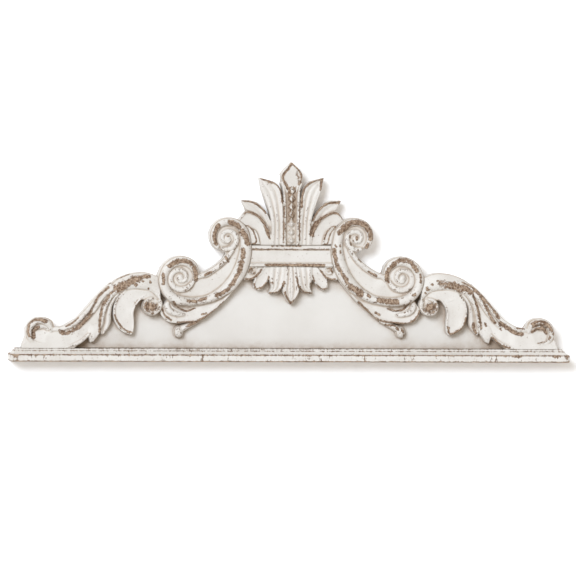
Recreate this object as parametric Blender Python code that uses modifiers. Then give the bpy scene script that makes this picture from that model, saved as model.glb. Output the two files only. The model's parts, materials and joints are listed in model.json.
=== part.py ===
"""Wall pediment: moulded rail, backing panel, two acanthus arms, two C-scrolls, band, palmette and
pendant.

Frame: X runs to the viewer's right, Z up and Y into the wall. The wall is the plane y = 0, so the
pediment lies in y < 0. X = 0 is the line of symmetry.

Each carved piece is a relief with a flat back: a height over the wall, drawn on a sheet. Sheet
points are (x, y) in sheet units with y down, and the rail's width sets the size of a unit. Drawn
heights are millimetres at full size, with the panel's face at FACE and the highest rim at CREST.
"""

import math

import bmesh
import bpy
import numpy as np
from mathutils import Vector
from mathutils.geometry import delaunay_2d_cdt

# Driving sizes, in metres.
WIDTH = 1.200
PANEL_THICK = 0.018
RAIL_DEPTH = 0.058
RAIL_HEIGHT = 0.0276
CARVING_DEPTH = 0.039
SEAT_GAP = 0.0003
ORIGIN_Z = 0.190

# Sheet: the line of symmetry from the finial's tip down to the rail's underside, the rail's two
# ends, and how far to the side the sheet is seen from.
CENTRE_Y = (160, 240, 279, 308, 330, 349, 362.5)
CENTRE_X = (291.6, 292.8, 292.1, 291.2, 290.2, 290.0, 288.7)
RAIL_ENDS = (10.0, 567.3)
SIDE_VIEW = math.radians(11)
UNIT_X = WIDTH * 1000 / (RAIL_ENDS[1] - RAIL_ENDS[0])
UNIT_Z = UNIT_X * math.cos(SIDE_VIEW)

# Drawn heights, the band's upper and lower edges and the beads, in sheet units.
FACE = 18
CREST = 57
BAND_EDGES = (245.2, 266.6)
BAND_HIGH, BAND_LOW = ((CENTRE_Y[-1] - y) * UNIT_Z for y in BAND_EDGES)
BEADS = 7
BEAD_PITCH = 8.35
# Sections as shares: the rail's height and depth, and the band's height with drawn heights.
RAIL_SECTION = (
    (0, 0.979), (0.036, 1), (0.55, 1), (0.587, 0.976), (0.634, 0.931), (0.707, 0.883),
    (0.797, 0.845), (0.84, 0.834), (0.855, 0.79), (0.971, 0.783), (1, 0.769),
)
BAND_SECTION = (
    (0, 44.5), (0.03, 46.4), (0.13, 46.4), (0.17, 42.2), (0.2, 41.6), (0.79, 41.6),
    (0.81, 43), (0.86, 46), (0.95, 46), (1, 44.2),
)
# Plain part of the panel between the arms and the rail, right of the line of symmetry.
PANEL_OPEN = (
    (285, 230), (345, 230), (350, 285), (445, 283), (460, 292), (482, 318), (500, 335),
    (530, 340), (552, 342), (556, 360), (285, 360),
)

# Raster of the reliefs, in millimetres, with a margin round the carving.
CELL = 1.0
MARGIN = 8
NX = int(WIDTH * 500 / CELL) + MARGIN
NZ = int((CENTRE_Y[-1] - CENTRE_Y[0]) * UNIT_Z / CELL) + MARGIN
STEP = 0.35
SPREAD = 7.75
NONE = -1.0
EMPTY = -1e9
GX, GZ = np.meshgrid((np.arange(NX) + 0.5) * CELL, (np.arange(NZ) + 0.5) * CELL)

# Fits and faceting, in millimetres.
PANEL = PANEL_THICK * 1000
SEAT = PANEL + SEAT_GAP * 1000
FIT = 1.5
SOFT = 0.8
EDGE_ROUND = 2.6
PANEL_INSET = 2.2
OUTLINE_TOL = 0.45
PANEL_TOL = 1.6
HEIGHT_TOL = 0.45
MIN_STEP = 1.6
EDGE_SOFT = 1.9
WIDE_SOFT = 3.0
OUTLINE_SOFT = 0.9
CENTRE_MERGE = 0.1

# How much of the blurred mask is left where the edge's rounding starts and ends, the fewest
# points of an outline, and the facets of each side's and each half's piece.
ROUND_FROM, ROUND_TO = 0.97, 0.5
LEAST_LOOP = 12
SIDE_BUDGET = {"c_scroll": 1900, "arm": 1610}
HALF_BUDGET = {"palmette": 860, "pendant": 390, "band": 0}

# Paint: base colour and roughness.
CARVED_COAT = ((0.80, 0.77, 0.73), 0.6)
PANEL_COAT = ((0.76, 0.73, 0.69), 0.65)

above_rail = GZ > (RAIL_HEIGHT + SEAT_GAP) * 1000


def centre(y):
    """The sheet's line of symmetry at height y."""
    return np.interp(y, CENTRE_Y, CENTRE_X)


def mm(points):
    """Sheet points to millimetres from the line of symmetry and from the rail's underside."""
    p = np.array(points, float)
    across = (p[:, 0] - centre(p[:, 1])) * UNIT_X
    return np.stack([across, (CENTRE_Y[-1] - p[:, 1]) * UNIT_Z], 1)


def spiral(x, y, radii, start, end, steps=13):
    """Points round a centre, with radii spread evenly between two angles in degrees."""
    t = np.linspace(0, 1, steps)
    r = np.interp(t, np.linspace(0, 1, len(radii)), radii)
    a = np.radians(start + (end - start) * t)
    return list(zip(x + r * np.cos(a), y + r * np.sin(a)))


def even(q, step):
    """The same curve in even steps."""
    run = np.concatenate([[0], np.cumsum(np.hypot(*np.diff(q, axis=0).T))])
    n = max(int(run[-1] / step), 2)
    at = np.linspace(0, run[-1], n + 1)
    return np.stack([np.interp(at, run, q[:, 0]), np.interp(at, run, q[:, 1])], 1)


def spline(points, step, closed=False):
    """Smooth curve through the points, in even steps."""
    p = np.array(points, float)
    if closed:
        p = np.concatenate([p[-1:], p, p[:2]])
    else:
        p = np.concatenate([2 * p[:1] - p[1:2], p, 2 * p[-1:] - p[-2:-1]])
    t = np.linspace(0, 1, 24, endpoint=False)[:, None]
    out = []
    for a, b, c, d in zip(p[:-3], p[1:-2], p[2:-1], p[3:]):
        bend = (2 * a - 5 * b + 4 * c - d) * t**2 + (3 * b - a - 3 * c + d) * t**3
        out.append(b + 0.5 * ((c - a) * t + bend))
    out.append(p[-2:-1])
    return even(np.concatenate(out), step)


def run_of(q):
    """Share of the length at each point of a curve."""
    run = np.concatenate([[0], np.cumsum(np.hypot(*np.diff(q, axis=0).T))])
    return run / run[-1]


def along(values, n):
    """Values given at even shares of the length, at n points."""
    v = np.atleast_1d(np.array(values, float))
    if len(v) == 1:
        return np.full(n, v[0])
    s = np.linspace(0, len(v) - 1, n)
    i = np.minimum(s.astype(int), len(v) - 2)
    f = s - i
    f = f * f * (3 - 2 * f) * 0.5 + f * 0.5
    return v[i] * (1 - f) + v[i + 1] * f


def blur(a, sigma):
    """Gaussian blur, sigma in millimetres."""
    s = sigma / CELL
    r = max(int(3 * s + 0.5), 1)
    k = np.exp(-0.5 * (np.arange(-r, r + 1) / s) ** 2)
    k /= k.sum()
    for axis in (0, 1):
        pad = [(r, r) if i == axis else (0, 0) for i in (0, 1)]
        b = np.pad(a, pad, mode="edge")
        out = np.zeros_like(a)
        for i, w in enumerate(k):
            out += w * (b[i : i + a.shape[0]] if axis == 0 else b[:, i : i + a.shape[1]])
        a = out
    return a


class Relief:
    """A drawn height on the right half of the sheet, NONE where there is no material."""

    def __init__(self):
        self.h = np.full((NZ, NX), NONE)

    def splat(self, x, z, v):
        """The highest value that falls in each cell."""
        ix = np.floor(x / CELL).astype(int).ravel()
        iz = np.floor(z / CELL).astype(int).ravel()
        ok = (ix >= 0) & (ix < NX) & (iz >= 0) & (iz < NZ)
        out = np.full(NZ * NX, EMPTY)
        np.maximum.at(out, iz[ok] * NX + ix[ok], v.ravel()[ok])
        return out.reshape(NZ, NX)

    def put(self, t, mode):
        """Lays a shape on the relief: over it, added to it or cut down into it."""
        got = t > EMPTY
        if mode == "over":
            self.h = np.where(got, np.maximum(self.h, t), self.h)
        elif mode == "add":
            self.h = np.where(got & (self.h > NONE), self.h + t, self.h)
        elif mode == "low":
            self.h = np.where(got & (self.h > NONE), np.minimum(self.h, t), self.h)

    def heights(self, height):
        """One height, or a smooth spread of heights given at sheet points (x, y, height)."""
        if np.isscalar(height):
            return np.full((NZ, NX), float(height))
        total, weight = np.zeros((NZ, NX)), np.zeros((NZ, NX))
        for (x, z), h in zip(mm([h[:2] for h in height]), height):
            w = 1.0 / ((GX - x) ** 2 + (GZ - z) ** 2 + SPREAD**2) ** 1.5
            total += w * h[2]
            weight += w
        return total / weight

    def fill(self, points, height, mode="over", smooth=True):
        """A region of the sheet inside a closed line."""
        p = mm(points)
        q = spline(p, 1.0, closed=True) if smooth else p
        lo = np.maximum((q.min(0) / CELL).astype(int) - 1, 0)
        hi = (q.max(0) / CELL).astype(int) + 2
        part = (slice(lo[1], hi[1]), slice(lo[0], hi[0]))
        inside = np.zeros((NZ, NX), bool)
        inside[part] = inside_loops([q], GX[part], GZ[part])
        self.put(np.where(inside, self.heights(height), EMPTY), mode)

    def patch(self, a, b, base, crown=0.0, dish=0.0, rim_a=0.0, rim_b=0.0, rim=4.0,
              flutes=0, flute=0.0, power=1.0, mode="over", roll=0.0):
        """A strip between two edges that run the same way. Heights are given along its length."""
        qa, qb = spline(mm(a), STEP), spline(mm(b), STEP)
        n = max(len(qa), len(qb))
        s = np.linspace(0, 1, n)
        ra, rb = run_of(qa), run_of(qb)
        qa = np.stack([np.interp(s, ra, qa[:, i]) for i in (0, 1)], 1)
        qb = np.stack([np.interp(s, rb, qb[:, i]) for i in (0, 1)], 1)
        wide = np.hypot(*(qb - qa).T)
        m = max(int(wide.max() / STEP), 8)
        t = np.linspace(0, 1, m + 1)[None, :]
        x = qa[:, :1] * (1 - t) + qb[:, :1] * t
        z = qa[:, 1:] * (1 - t) + qb[:, 1:] * t
        da, db = t * wide[:, None], (1 - t) * wide[:, None]
        arch = np.sin(np.pi * t) ** power
        h = along(base, n)[:, None] + (along(crown, n) - along(dish, n))[:, None] * arch
        width = np.minimum(rim, wide[:, None] * 0.45 + 1e-6)
        for amount, d in ((rim_a, da), (rim_b, db)):
            u = np.clip(d / width, 0, 1)
            h = h + along(amount, n)[:, None] * np.sin(np.pi * (0.25 + 0.75 * u))
        if flutes:
            h = h + along(flute, n)[:, None] * np.cos(2 * np.pi * flutes * (t - 0.5 / flutes))
        if roll:
            u = np.clip(1 - np.minimum(da, db) / roll, 0, 1)
            h = h - roll * (1 - np.sqrt(1 - u * u)) * 0.8
        self.put(self.splat(x, z, h), mode)

    def rib(self, path, half, crest, foot, power=0.5):
        """A rounded strip along a path: half widths in sheet units, crest and foot in height."""
        q = spline(mm(path), STEP)
        n = len(q)
        d = np.gradient(q, axis=0)
        d /= np.hypot(*d.T)[:, None] + 1e-9
        w = along(half, n) * UNIT_X
        m = max(int(2 * w.max() / STEP), 6)
        t = np.linspace(-1, 1, m + 1)[None, :]
        x = q[:, :1] - d[:, 1:] * w[:, None] * t
        z = q[:, 1:] + d[:, :1] * w[:, None] * t
        c, f = along(crest, n)[:, None], along(foot, n)[:, None]
        self.put(self.splat(x, z, f + (c - f) * (1 - t * t) ** power), "over")

    def dome(self, x, y, rx, ry, top, foot, power=0.5, diamond=False):
        """A rounded boss, or a four-sided one."""
        cx, cz = mm([(x, y)])[0]
        u, w = (GX - cx) / (rx * UNIT_X), (GZ - cz) / (ry * UNIT_Z)
        r = np.abs(u) + np.abs(w) if diamond else u * u + w * w
        h = foot + (top - foot) * np.clip(1 - r, 0, 1) ** power
        self.put(np.where(r < 1, h, EMPTY), "over")

    def keep(self, inside):
        """Keeps only the material inside a mask."""
        self.h = np.where(inside, self.h, NONE)


def inside_loops(loops, x, z):
    """Which points lie inside closed lines."""
    w = np.zeros(np.shape(x), bool)
    for q in loops:
        for (x0, z0), (x1, z1) in zip(q, np.roll(q, -1, 0)):
            if z0 != z1:
                w ^= ((z0 > z) != (z1 > z)) & (x < (x1 - x0) * (z - z0) / (z1 - z0) + x0)
    return w


def c_scroll():
    """One C-scroll with its two volutes, the tail leaf under it and the small ball on its neck."""
    r = Relief()
    # Tail leaf, its recess, its inner lip and the ball on its stalk.
    r.patch(
        [(346, 288), (358, 302), (370, 313.5), (380, 320.5), (395, 323.4), (408, 323.4),
         (416, 320), (420.5, 311), (414, 300)],
        [(352, 286), (366, 297), (382, 300.5), (399, 301), (414, 299)],
        base=[38, 37, 36, 36, 37, 38], dish=[0, 1.5, 2.5, 2, 1, 0], rim_a=[1, 2.5, 2.5, 1.5, 2],
        rim=5.0, roll=1.5)
    r.patch([(387, 309), (397, 311.6), (407, 307.6), (410.5, 302)],
            [(387, 309), (396, 305.5), (406, 303), (410.5, 302)],
            base=[0, -3.2, -4.5, -4.2, 0], crown=[0, -1.5, -2, -1.5, 0], mode="add")
    r.rib([(412.5, 301.5), (414.5, 305), (412, 311), (404, 314.6), (396, 315.2)],
          [2.0, 2.8, 2.8, 2.2, 1.2], [41, 43.5, 43, 41, 38.5], [37, 38, 38, 37.5, 37])
    r.rib([(381, 321.5), (387, 324), (398, 329.5)], [1.6, 2.4, 3.2], [34, 36, 37], [26, 28, 28])
    r.dome(401, 332.8, 4.9, 6.2, 41, 25)
    # The two volutes and the stem between them.
    upper = spiral(356.5, 238, (13.4, 14.6, 16.2, 17.0, 17.2), 45, -166)
    stem = [(338.2, 250), (342, 268), (351.8, 284.5), (369, 297.2), (386, 301.6)]
    lower = spiral(403, 278.4, (23, 18, 16.5, 17.2, 17.9, 15.4), 98, -184)
    inner = [(351, 249.5), (360.5, 262.5), (375, 273.4), (383, 276.3), (388, 281)]
    r.fill(
        upper + stem + lower[:-2] + inner[-2:0:-1] + [(357, 254)],
        [(352, 250, 43), (350, 262, 41), (358, 275, 40), (370, 284, 40), (385, 290, 41),
         (357, 238, 48), (402, 278, 48), (345, 290, 43), (412, 296, 44)])
    r.rib(inner, [2.2, 2.4, 2.6, 2.8, 1.6], [50, 50, 49, 49, 45], [41, 40, 40, 40, 40])
    r.rib(upper + stem + lower,
          [2.6, 3.4, 3.7, 4.2, 5.2, 6.4, 6.8, 6.2, 4.6, 3.7, 4.0, 4.6, 4.7, 4.6, 4.6, 4.4, 2.4],
          [50, 57, 57, 57, 55, 52.5, 50.5, 50, 50, 50, 52, 56, 57, 57, 56, 54, 48],
          [44, 45, 45, 44.5, 43, 41, 39, 39, 39, 39, 41, 45, 45, 45, 45, 45, 43])
    r.rib(spiral(356.8, 238, (11.8, 9.4, 7.6, 5.8, 4.0, 2.6), 60, 520, 25),
          [1.4, 2.4, 2.3, 2.1, 1.8, 1.2], [49.5, 52, 52, 51.5, 51.5, 51], 48)
    r.dome(356.8, 238, 3.0, 3.0, 52.8, 49.5, 0.6)
    r.rib(spiral(403, 278, (13.6, 11.4, 9.4, 7.4, 5.2, 3.0), -190, -650, 25),
          [1.6, 2.6, 2.7, 2.4, 2.0, 1.4], [48.5, 52, 52.5, 52.5, 52.5, 52], 48)
    r.dome(403.2, 278, 3.4, 3.6, 53.6, 50, 0.6)
    return r


def arm():
    """One acanthus arm, from the ball volute over the lobes to the foot and its end volute."""
    r = Relief()
    top = [(424, 277.5), (436, 273.2), (450, 273.8), (463, 278.5), (476, 288.5), (491, 304.5),
           (502, 318), (512, 325.8), (524, 328.5)]
    # Long body and foot, which the rail's top cuts off.
    r.fill(
        top[3:] + [(528.5, 321.5), (536, 318.2), (546, 321), (552.5, 331), (554, 339),
                   (558, 350), (560, 358), (520, 358), (502, 346.5), (490, 337), (487, 342.4),
                   (480, 333), (476, 308), (462, 290)],
        [(470, 290, 44), (485, 310, 41), (490, 330, 40), (505, 335, 42), (520, 340, 45),
         (540, 343, 47), (540, 330, 46), (484, 338, 36)])
    # Narrow second lobe.
    r.patch([(458, 289), (468.5, 306), (469.5, 325), (475.5, 334.4)],
            [(468, 289), (478, 308), (481, 327), (478, 335.5)],
            base=[44, 42, 40, 38, 36, 34], flutes=2, flute=[0.4, 1.6, 1.8, 1.8, 1.0], roll=2.0)
    # Large hooked lobe.
    r.patch(
        [(432, 292), (443, 302.5), (447.4, 312), (446.3, 324), (446.6, 331), (448.2, 335.2)],
        [(456, 289), (466.2, 303), (467, 317), (462, 328), (456, 333), (449.4, 335.4)],
        base=[44, 43, 42, 41, 40, 38.5, 37.5], dish=[0, 1, 2, 2.5, 2.5, 2, 1],
        rim_a=[0, 1, 1.5, 1.5, 1.5, 1], rim_b=[0.5, 1.5, 3, 3.5, 3.5, 3, 1.5], rim=4.5, roll=1.5)
    # Face inside the curl, between the band, the ball and the large lobe.
    r.fill([(421.5, 302), (424, 295), (431, 290.5), (440, 288), (456, 288), (461, 295),
            (452, 301), (444, 302.4), (438.5, 300.2), (428, 303)],
           [(424, 300, 41), (436, 294, 43.5), (455, 296, 43.5)])
    # Top band with its rounded crest.
    r.patch(top[:5],
            [(421.5, 301), (431, 292), (445, 289.2), (459, 291.6), (472, 298.5)],
            base=[42, 43, 44, 44, 44, 43, 42], crown=[6, 7, 8, 8, 8, 7.5, 6], power=0.6)
    # Veins that run down from the band.
    r.rib([(456, 287), (469.5, 294.5), (477.2, 311), (480, 329), (486.5, 342.4)],
          [3.2, 2.6, 2.1, 2.0, 1.8, 0.8], [50, 49.5, 47.5, 45, 41.5, 37], [44, 43, 42, 40, 37, 33])
    r.rib([(466, 286.5), (478, 295.5), (487.5, 311), (501, 328.5)],
          [2.6, 2.5, 2.3, 2.2, 2.0, 1.0], [50, 49, 48, 47, 46, 44], [45, 43, 42.5, 42, 42, 42])
    r.rib([(470, 285), (481.5, 296), (492.5, 309.5), (503, 321.5), (516, 329), (528, 330)],
          [2.4, 2.3, 2.3, 2.4, 2.4, 1.6], [49, 49.5, 49, 48.5, 48.5, 48], [44, 43, 43, 43, 44, 46])
    r.patch([(480.5, 324), (483.8, 337.5), (488, 343.6)],
            [(489, 326), (491.8, 333), (489.5, 343)],
            base=[41, 40.5, 38.5, 35], crown=[0, 1.5, 2.5, 1])
    # Lower edge of the body, a thin raised lip.
    r.rib([(489.5, 334), (500, 343.2), (513, 348.4)], [1.2, 1.4, 0.8], [43, 45, 46], [38, 42, 44])
    # End volute: rim, hollow and inner curl.
    r.rib(spiral(540, 332.5, (11.4, 11.2, 11.4, 11.2, 10.9, 12.6), 178, 425, 13),
          [1.6, 3.2, 3.1, 2.9, 2.8, 1.4], [48, 55, 56, 56, 54, 47], [44, 47, 47, 47, 46, 46])
    r.fill(spiral(539, 334.5, (9.2,), 0, 330, 12),
           [(540, 330, 43), (540, 338, 45), (532, 340, 47), (546, 334, 44)], mode="low")
    r.rib(spiral(538.5, 334.5, (7.6, 7.4, 7.9), 208, 352, 7),
          [1.2, 2.2, 1.0], [48, 52, 47], 44)
    # Ball volute at the inner end.
    r.dome(430, 307.5, 9.2, 8.8, 44, 41)
    r.rib(spiral(429.8, 306.4, (9.0, 7.6, 7.4, 7.2, 7.4), 222, -100),
          [2.4, 2.1, 2.0, 1.9, 1.2], [48, 50, 50, 50, 46], 41.5)
    r.dome(429.8, 307.4, 4.9, 5.2, 49, 43, 0.45)
    return r


def palmette_half():
    """Right half of the palmette: leaves, fillet, beads and finial."""
    r = Relief()
    c, foot = 292.0, 244.8
    # Third leaf, the lowest layer.
    r.patch([(309, foot), (310, 232), (316, 214.5), (325, 203.5), (333, 200.4), (341.5, 200.3)],
            [(322, foot), (323, 230), (329, 215.5), (337, 209.5), (341.5, 201)],
            base=[34, 35, 36, 37, 37, 36], rim_a=[1, 2, 3, 3, 3, 2], dish=[0, 1, 1.5, 1.5, 0.5],
            flutes=2, flute=[0.3, 0.8, 0.8, 0.6, 0.3], rim=4.5, roll=1.5)
    # Fourth leaf, rounded.
    r.patch([(311.5, foot), (313, 234), (319, 222), (328, 214), (337.5, 211.5), (345, 220.5)],
            [(331, foot), (332, 234), (337, 226), (342, 223), (345, 220.8)],
            base=[37, 38, 39, 40, 40, 39, 38], rim_a=[1, 2.5, 3.5, 3.5, 3.5, 3, 2],
            dish=[0.5, 1.5, 2, 2, 1.5, 0.5, 0], rim=5.0, roll=1.5)
    # Small inner leaf.
    r.patch([(324, 243.8), (327.6, 232), (336, 225.3)],
            [(329.5, 244.2), (332.4, 233), (336.6, 226.6)],
            base=[42, 43, 43, 43, 42], dish=[0, 1.2, 1.6, 1.2, 0], rim_a=1.0, rim_b=1.0, rim=2.5)
    # Second leaf, with flutes.
    r.patch([(300.2, foot), (300.9, 212), (302.4, 192.5), (308.5, 182.5), (323.8, 177.3)],
            [(312.6, foot), (312.4, 222), (316.5, 205), (321.3, 190), (323.8, 177.8)],
            base=[40, 41, 42, 42, 42, 41, 39], rim_a=[1.5, 2, 2.5, 2.5, 3, 3, 1.5],
            rim_b=[0, 0.5, 1, 1, 1, 0.5], dish=[0.5, 1, 1.5, 1.5, 1, 0.5],
            flutes=3, flute=[0.8, 1.3, 1.5, 1.5, 1.2, 0.6, 0.1], rim=4.0, roll=1.5)
    # Stalk between the leaf and the beads, and the finial on it.
    r.fill([(c - 3, foot), (c + 9.2, foot), (c + 9.2, 205), (c + 8, 188), (c - 3, 184)], 38,
           smooth=False)
    r.patch([(c - 3, 192), (c - 3, 170), (c - 0.6, 161.8)],
            [(c + 5, 192), (c + 9.4, 180.5), (c + 9.4, 172), (c, 161.8)],
            base=[39, 39, 38, 38, 38, 37, 35], rim_b=[1, 2.5, 3.5, 3.5, 3, 2, 1], rim=5.5,
            roll=1.5)
    # Fillet beside the beads.
    r.rib([(c + 7.3, foot), (c + 7.1, 205), (c + 7.8, 190), (c + 10, 182)],
          [1.7, 1.6, 1.4, 0.8], [45, 45, 43.5, 40], 38)
    # Column of four-sided beads, each with a round top.
    for i in range(BEADS):
        y = 240.5 - BEAD_PITCH * i
        r.dome(c, y, 4.6, 4.6, 46.5, 38.5, 0.8, diamond=True)
        r.dome(c, y, 2.4, 2.4, 47, 43, 0.6)
    return r


def band_half():
    """Right half of the flat band between its two fillets."""
    r = Relief()
    c = 292.0
    r.fill([(c - 4, BAND_EDGES[1]), (c + 42, BAND_EDGES[1]), (c + 42, BAND_EDGES[0]),
            (c - 4, BAND_EDGES[0])], 42, smooth=False)
    r.h = np.where(r.h > NONE, band_section(GZ), NONE)
    return r


def band_section(z):
    """Drawn height of the band's section at a height on the sheet."""
    shares, drawn = zip(*BAND_SECTION)
    return np.interp((z - BAND_LOW) / (BAND_HIGH - BAND_LOW), shares, drawn)


def pendant_half():
    """Right half of the hanging fan of leaves."""
    r = Relief()
    c, head = 291.9, 267.0
    # Outer curl.
    r.patch([(316, head), (323, 275.6), (333, 280), (338, 280)],
            [(326, head), (332, head), (338, 273), (340, 277)],
            base=[37, 38, 38, 38, 37], rim_a=[1, 2, 2.5, 2, 1], dish=[0, 1, 1, 0], rim=4.5,
            roll=1.5)
    r.rib(spiral(330, 270.6, (4.6, 3.8, 3.0, 2.2), -150, 150, 11), [1.0, 1.5, 1.3, 0.8],
          [40, 43, 43, 42], 38)
    # Third leaf.
    r.patch([(309, head), (314, 279.5), (321.4, 289), (324.5, 290.2)],
            [(318.6, head), (326.6, 276.6), (328.8, 286.2), (325.5, 290)],
            base=[40, 40, 39, 38, 37, 35], rim_a=[1, 2, 2, 1.5, 1], rim_b=[1, 2, 2.5, 2, 1],
            dish=[0.5, 1.5, 2, 1.5, 0.5], rim=4.0, roll=1.5)
    # Second leaf.
    r.patch([(c + 4, head), (c + 7, 283), (c + 12, 291.6), (c + 21, 293.8)],
            [(c + 21.5, head), (c + 21.4, 279), (c + 19.2, 287), (c + 21.4, 293.4)],
            base=[42, 42, 42, 41, 40, 38], rim_a=[0, 1, 2, 3, 3, 1.5], flutes=3,
            flute=[0.8, 1.4, 1.4, 1.2, 0.6, 0.1], dish=[0, 0.5, 1, 1, 0.5], rim=4.0, roll=1.5)
    # Centre leaf.
    r.patch([(c - 1, head), (c - 1, 293), (c - 0.3, 304.2)],
            [(c + 5.6, head), (c + 6.9, 283), (c + 7.4, 292), (c + 0.2, 304.2)],
            base=[43, 44, 45, 45, 44, 40], rim_b=[1, 1.5, 2, 2.5, 3, 2], flutes=2,
            flute=[1.4, 1.8, 1.8, 1.6, 0.8, 0], rim=3.5, roll=1.5)
    return r


def mask_of(h):
    return h > NONE


def grow(mask, reach):
    """A mask grown by a distance in millimetres, or shrunk if it is negative."""
    n = int(abs(reach) / CELL + 1.5)
    a = mask if reach > 0 else ~mask
    out = a.copy()
    p = np.pad(a, n, mode="edge")
    for i in range(-n, n + 1):
        for j in range(-n, n + 1):
            if (i * i + j * j) * CELL * CELL <= reach * reach:
                out |= p[n + i : n + i + a.shape[0], n + j : n + j + a.shape[1]]
    return out if reach > 0 else ~out


def both(h):
    """The right half with its mirror image, on the whole sheet."""
    return np.concatenate([h[:, ::-1], h], 1)


def level(h, mask, edge=EDGE_ROUND):
    """Height smoothed inside its mask and rounded off towards its outline."""
    m = mask.astype(float)
    s = blur(np.where(mask, h, 0), SOFT) / np.maximum(blur(m, SOFT), 1e-6)
    wide = blur(np.where(mask, h, 0), WIDE_SOFT) / np.maximum(blur(m, WIDE_SOFT), 1e-9)
    s = np.where(blur(m, SOFT) > 0.02, s, wide)
    u = np.clip((ROUND_FROM - blur(m, EDGE_SOFT)) / (ROUND_FROM - ROUND_TO), 0, 1)
    return depth(s) - edge * (1 - np.sqrt(1 - u * u))


def depth(h):
    """Millimetres from the wall for a drawn height."""
    return SEAT + (h - FACE) * CARVING_DEPTH * 1000 / (CREST - FACE)


def sample(h, x, z, x0):
    """Values at points of the sheet, between the cells."""
    u = np.clip((np.asarray(x) - x0) / CELL - 0.5, 0, h.shape[1] - 1.001)
    w = np.clip(np.asarray(z) / CELL - 0.5, 0, h.shape[0] - 1.001)
    i, j = w.astype(int), u.astype(int)
    fi, fj = w - i, u - j
    a = h[i, j] * (1 - fj) + h[i, j + 1] * fj
    b = h[i + 1, j] * (1 - fj) + h[i + 1, j + 1] * fj
    return a * (1 - fi) + b * fi


def carvings():
    """The five reliefs, each cut clear of those that were laid before it."""
    scroll, limb, strap = c_scroll(), arm(), band_half()
    fan, drop = palmette_half(), pendant_half()
    scroll.keep(above_rail)
    clear = ~grow(mask_of(scroll.h), FIT)
    limb.keep(above_rail & clear)
    strap.keep(clear)
    clear = clear & ~grow(mask_of(strap.h), FIT)
    fan.keep(clear)
    drop.keep(clear)
    return scroll.h, limb.h, strap.h, fan.h, drop.h


def cdt(points, edges):
    """Constrained triangles over the points: vertices and triples."""
    v, _, f, _, _, _ = delaunay_2d_cdt([Vector(p) for p in points], edges, [], 0, 1e-6)
    return np.array([(p.x, p.y) for p in v]), [tuple(t) for t in f if len(t) == 3]


def thin(line, tol):
    """Open line with every point within tol of the full one."""
    keep = {0, len(line) - 1}
    stack = [(0, len(line) - 1)]
    while stack:
        i, j = stack.pop()
        if j - i < 2:
            continue
        d = line[j] - line[i]
        e = line[i + 1 : j] - line[i]
        off = np.abs(d[0] * e[:, 1] - d[1] * e[:, 0]) / (np.hypot(*d) + 1e-12)
        k = i + 1 + int(np.argmax(off))
        if off[k - i - 1] > tol:
            keep.add(k)
            stack += [(i, k), (k, j)]
    return line[sorted(keep)]


def simplify(loop, tol):
    """Closed outline with every point within tol of the full one."""
    b = int(np.argmax(np.hypot(*(loop - loop[0]).T)))
    ring = np.concatenate([loop, loop[:1]])
    return np.concatenate([thin(ring[: b + 1], tol)[:-1], thin(ring[b:], tol)[:-1]])


def outline(mask, x0):
    """Closed outlines of a mask, smoothed, in millimetres. Material lies on their left."""
    pad = 3
    c = blur(np.pad(mask.astype(float), pad), OUTLINE_SOFT) - 0.5
    ins = c > 0
    code = ins[:-1, :-1] * 1 + ins[:-1, 1:] * 2 + ins[1:, 1:] * 4 + ins[1:, :-1] * 8
    table = {1: [(0, 3)], 2: [(1, 0)], 3: [(1, 3)], 4: [(2, 1)], 5: [(0, 3), (2, 1)],
             6: [(2, 0)], 7: [(2, 3)], 8: [(3, 2)], 9: [(0, 2)], 10: [(1, 0), (3, 2)],
             11: [(1, 2)], 12: [(3, 1)], 13: [(0, 1)], 14: [(3, 0)]}

    def key(i, j, e):
        return ((i, j, 0), (i, j + 1, 1), (i + 1, j, 0), (i, j, 1))[e]

    def place(k):
        i, j, upward = k
        a, b = c[i, j], c[i + upward, j + 1 - upward]
        t = a / (a - b)
        return j + (1 - upward) * t, i + upward * t

    segs = {}
    for i, j in np.argwhere((code > 0) & (code < 15)):
        for e0, e1 in table[int(code[i, j])]:
            segs[key(i, j, e0)] = key(i, j, e1)
    loops = []
    while segs:
        k = next(iter(segs))
        loop = []
        while k in segs:
            loop.append(place(k))
            k = segs.pop(k)
        if len(loop) > LEAST_LOOP:
            loops.append((np.array(loop) - pad + 0.5) * CELL + (x0, 0))
    return loops


def right_part(loop):
    """The part of a closed line on the right of the line of symmetry."""
    out = []
    for p, q in zip(loop, np.roll(loop, -1, 0)):
        if p[0] > 0:
            out.append(p)
        if (p[0] > 0) != (q[0] > 0):
            out.append((0.0, p[1] + (q[1] - p[1]) * p[0] / (p[0] - q[0])))
    return np.array(out)


def level_lines(mask):
    """The band's arrises, from the line of symmetry to just inside its end."""
    lines = []
    for share, _ in BAND_SECTION[1:-1]:
        z = BAND_LOW + share * (BAND_HIGH - BAND_LOW)
        rows = mask[int(z / CELL) - 1 : int(z / CELL) + 2]
        lines.append([(0, z), (min(GX[0, row].max() for row in rows) - EDGE_ROUND, z)])
    return lines


def along_centre(loop, h, x0):
    """The outline, with points put in where the relief turns along the line of symmetry."""
    out = []
    for p, q in zip(loop, np.roll(loop, -1, 0)):
        out.append(p)
        if max(abs(p[0]), abs(q[0])) < 1e-6:
            z = np.linspace(p[1], q[1], int(abs(q[1] - p[1]) / CELL) + 2)
            line = thin(np.stack([z, sample(h, 0 * z, z, x0)], 1), HEIGHT_TOL)
            out += [np.array((0, z)) for z, _ in line[1:-1]]
    return np.array(out)


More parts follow.
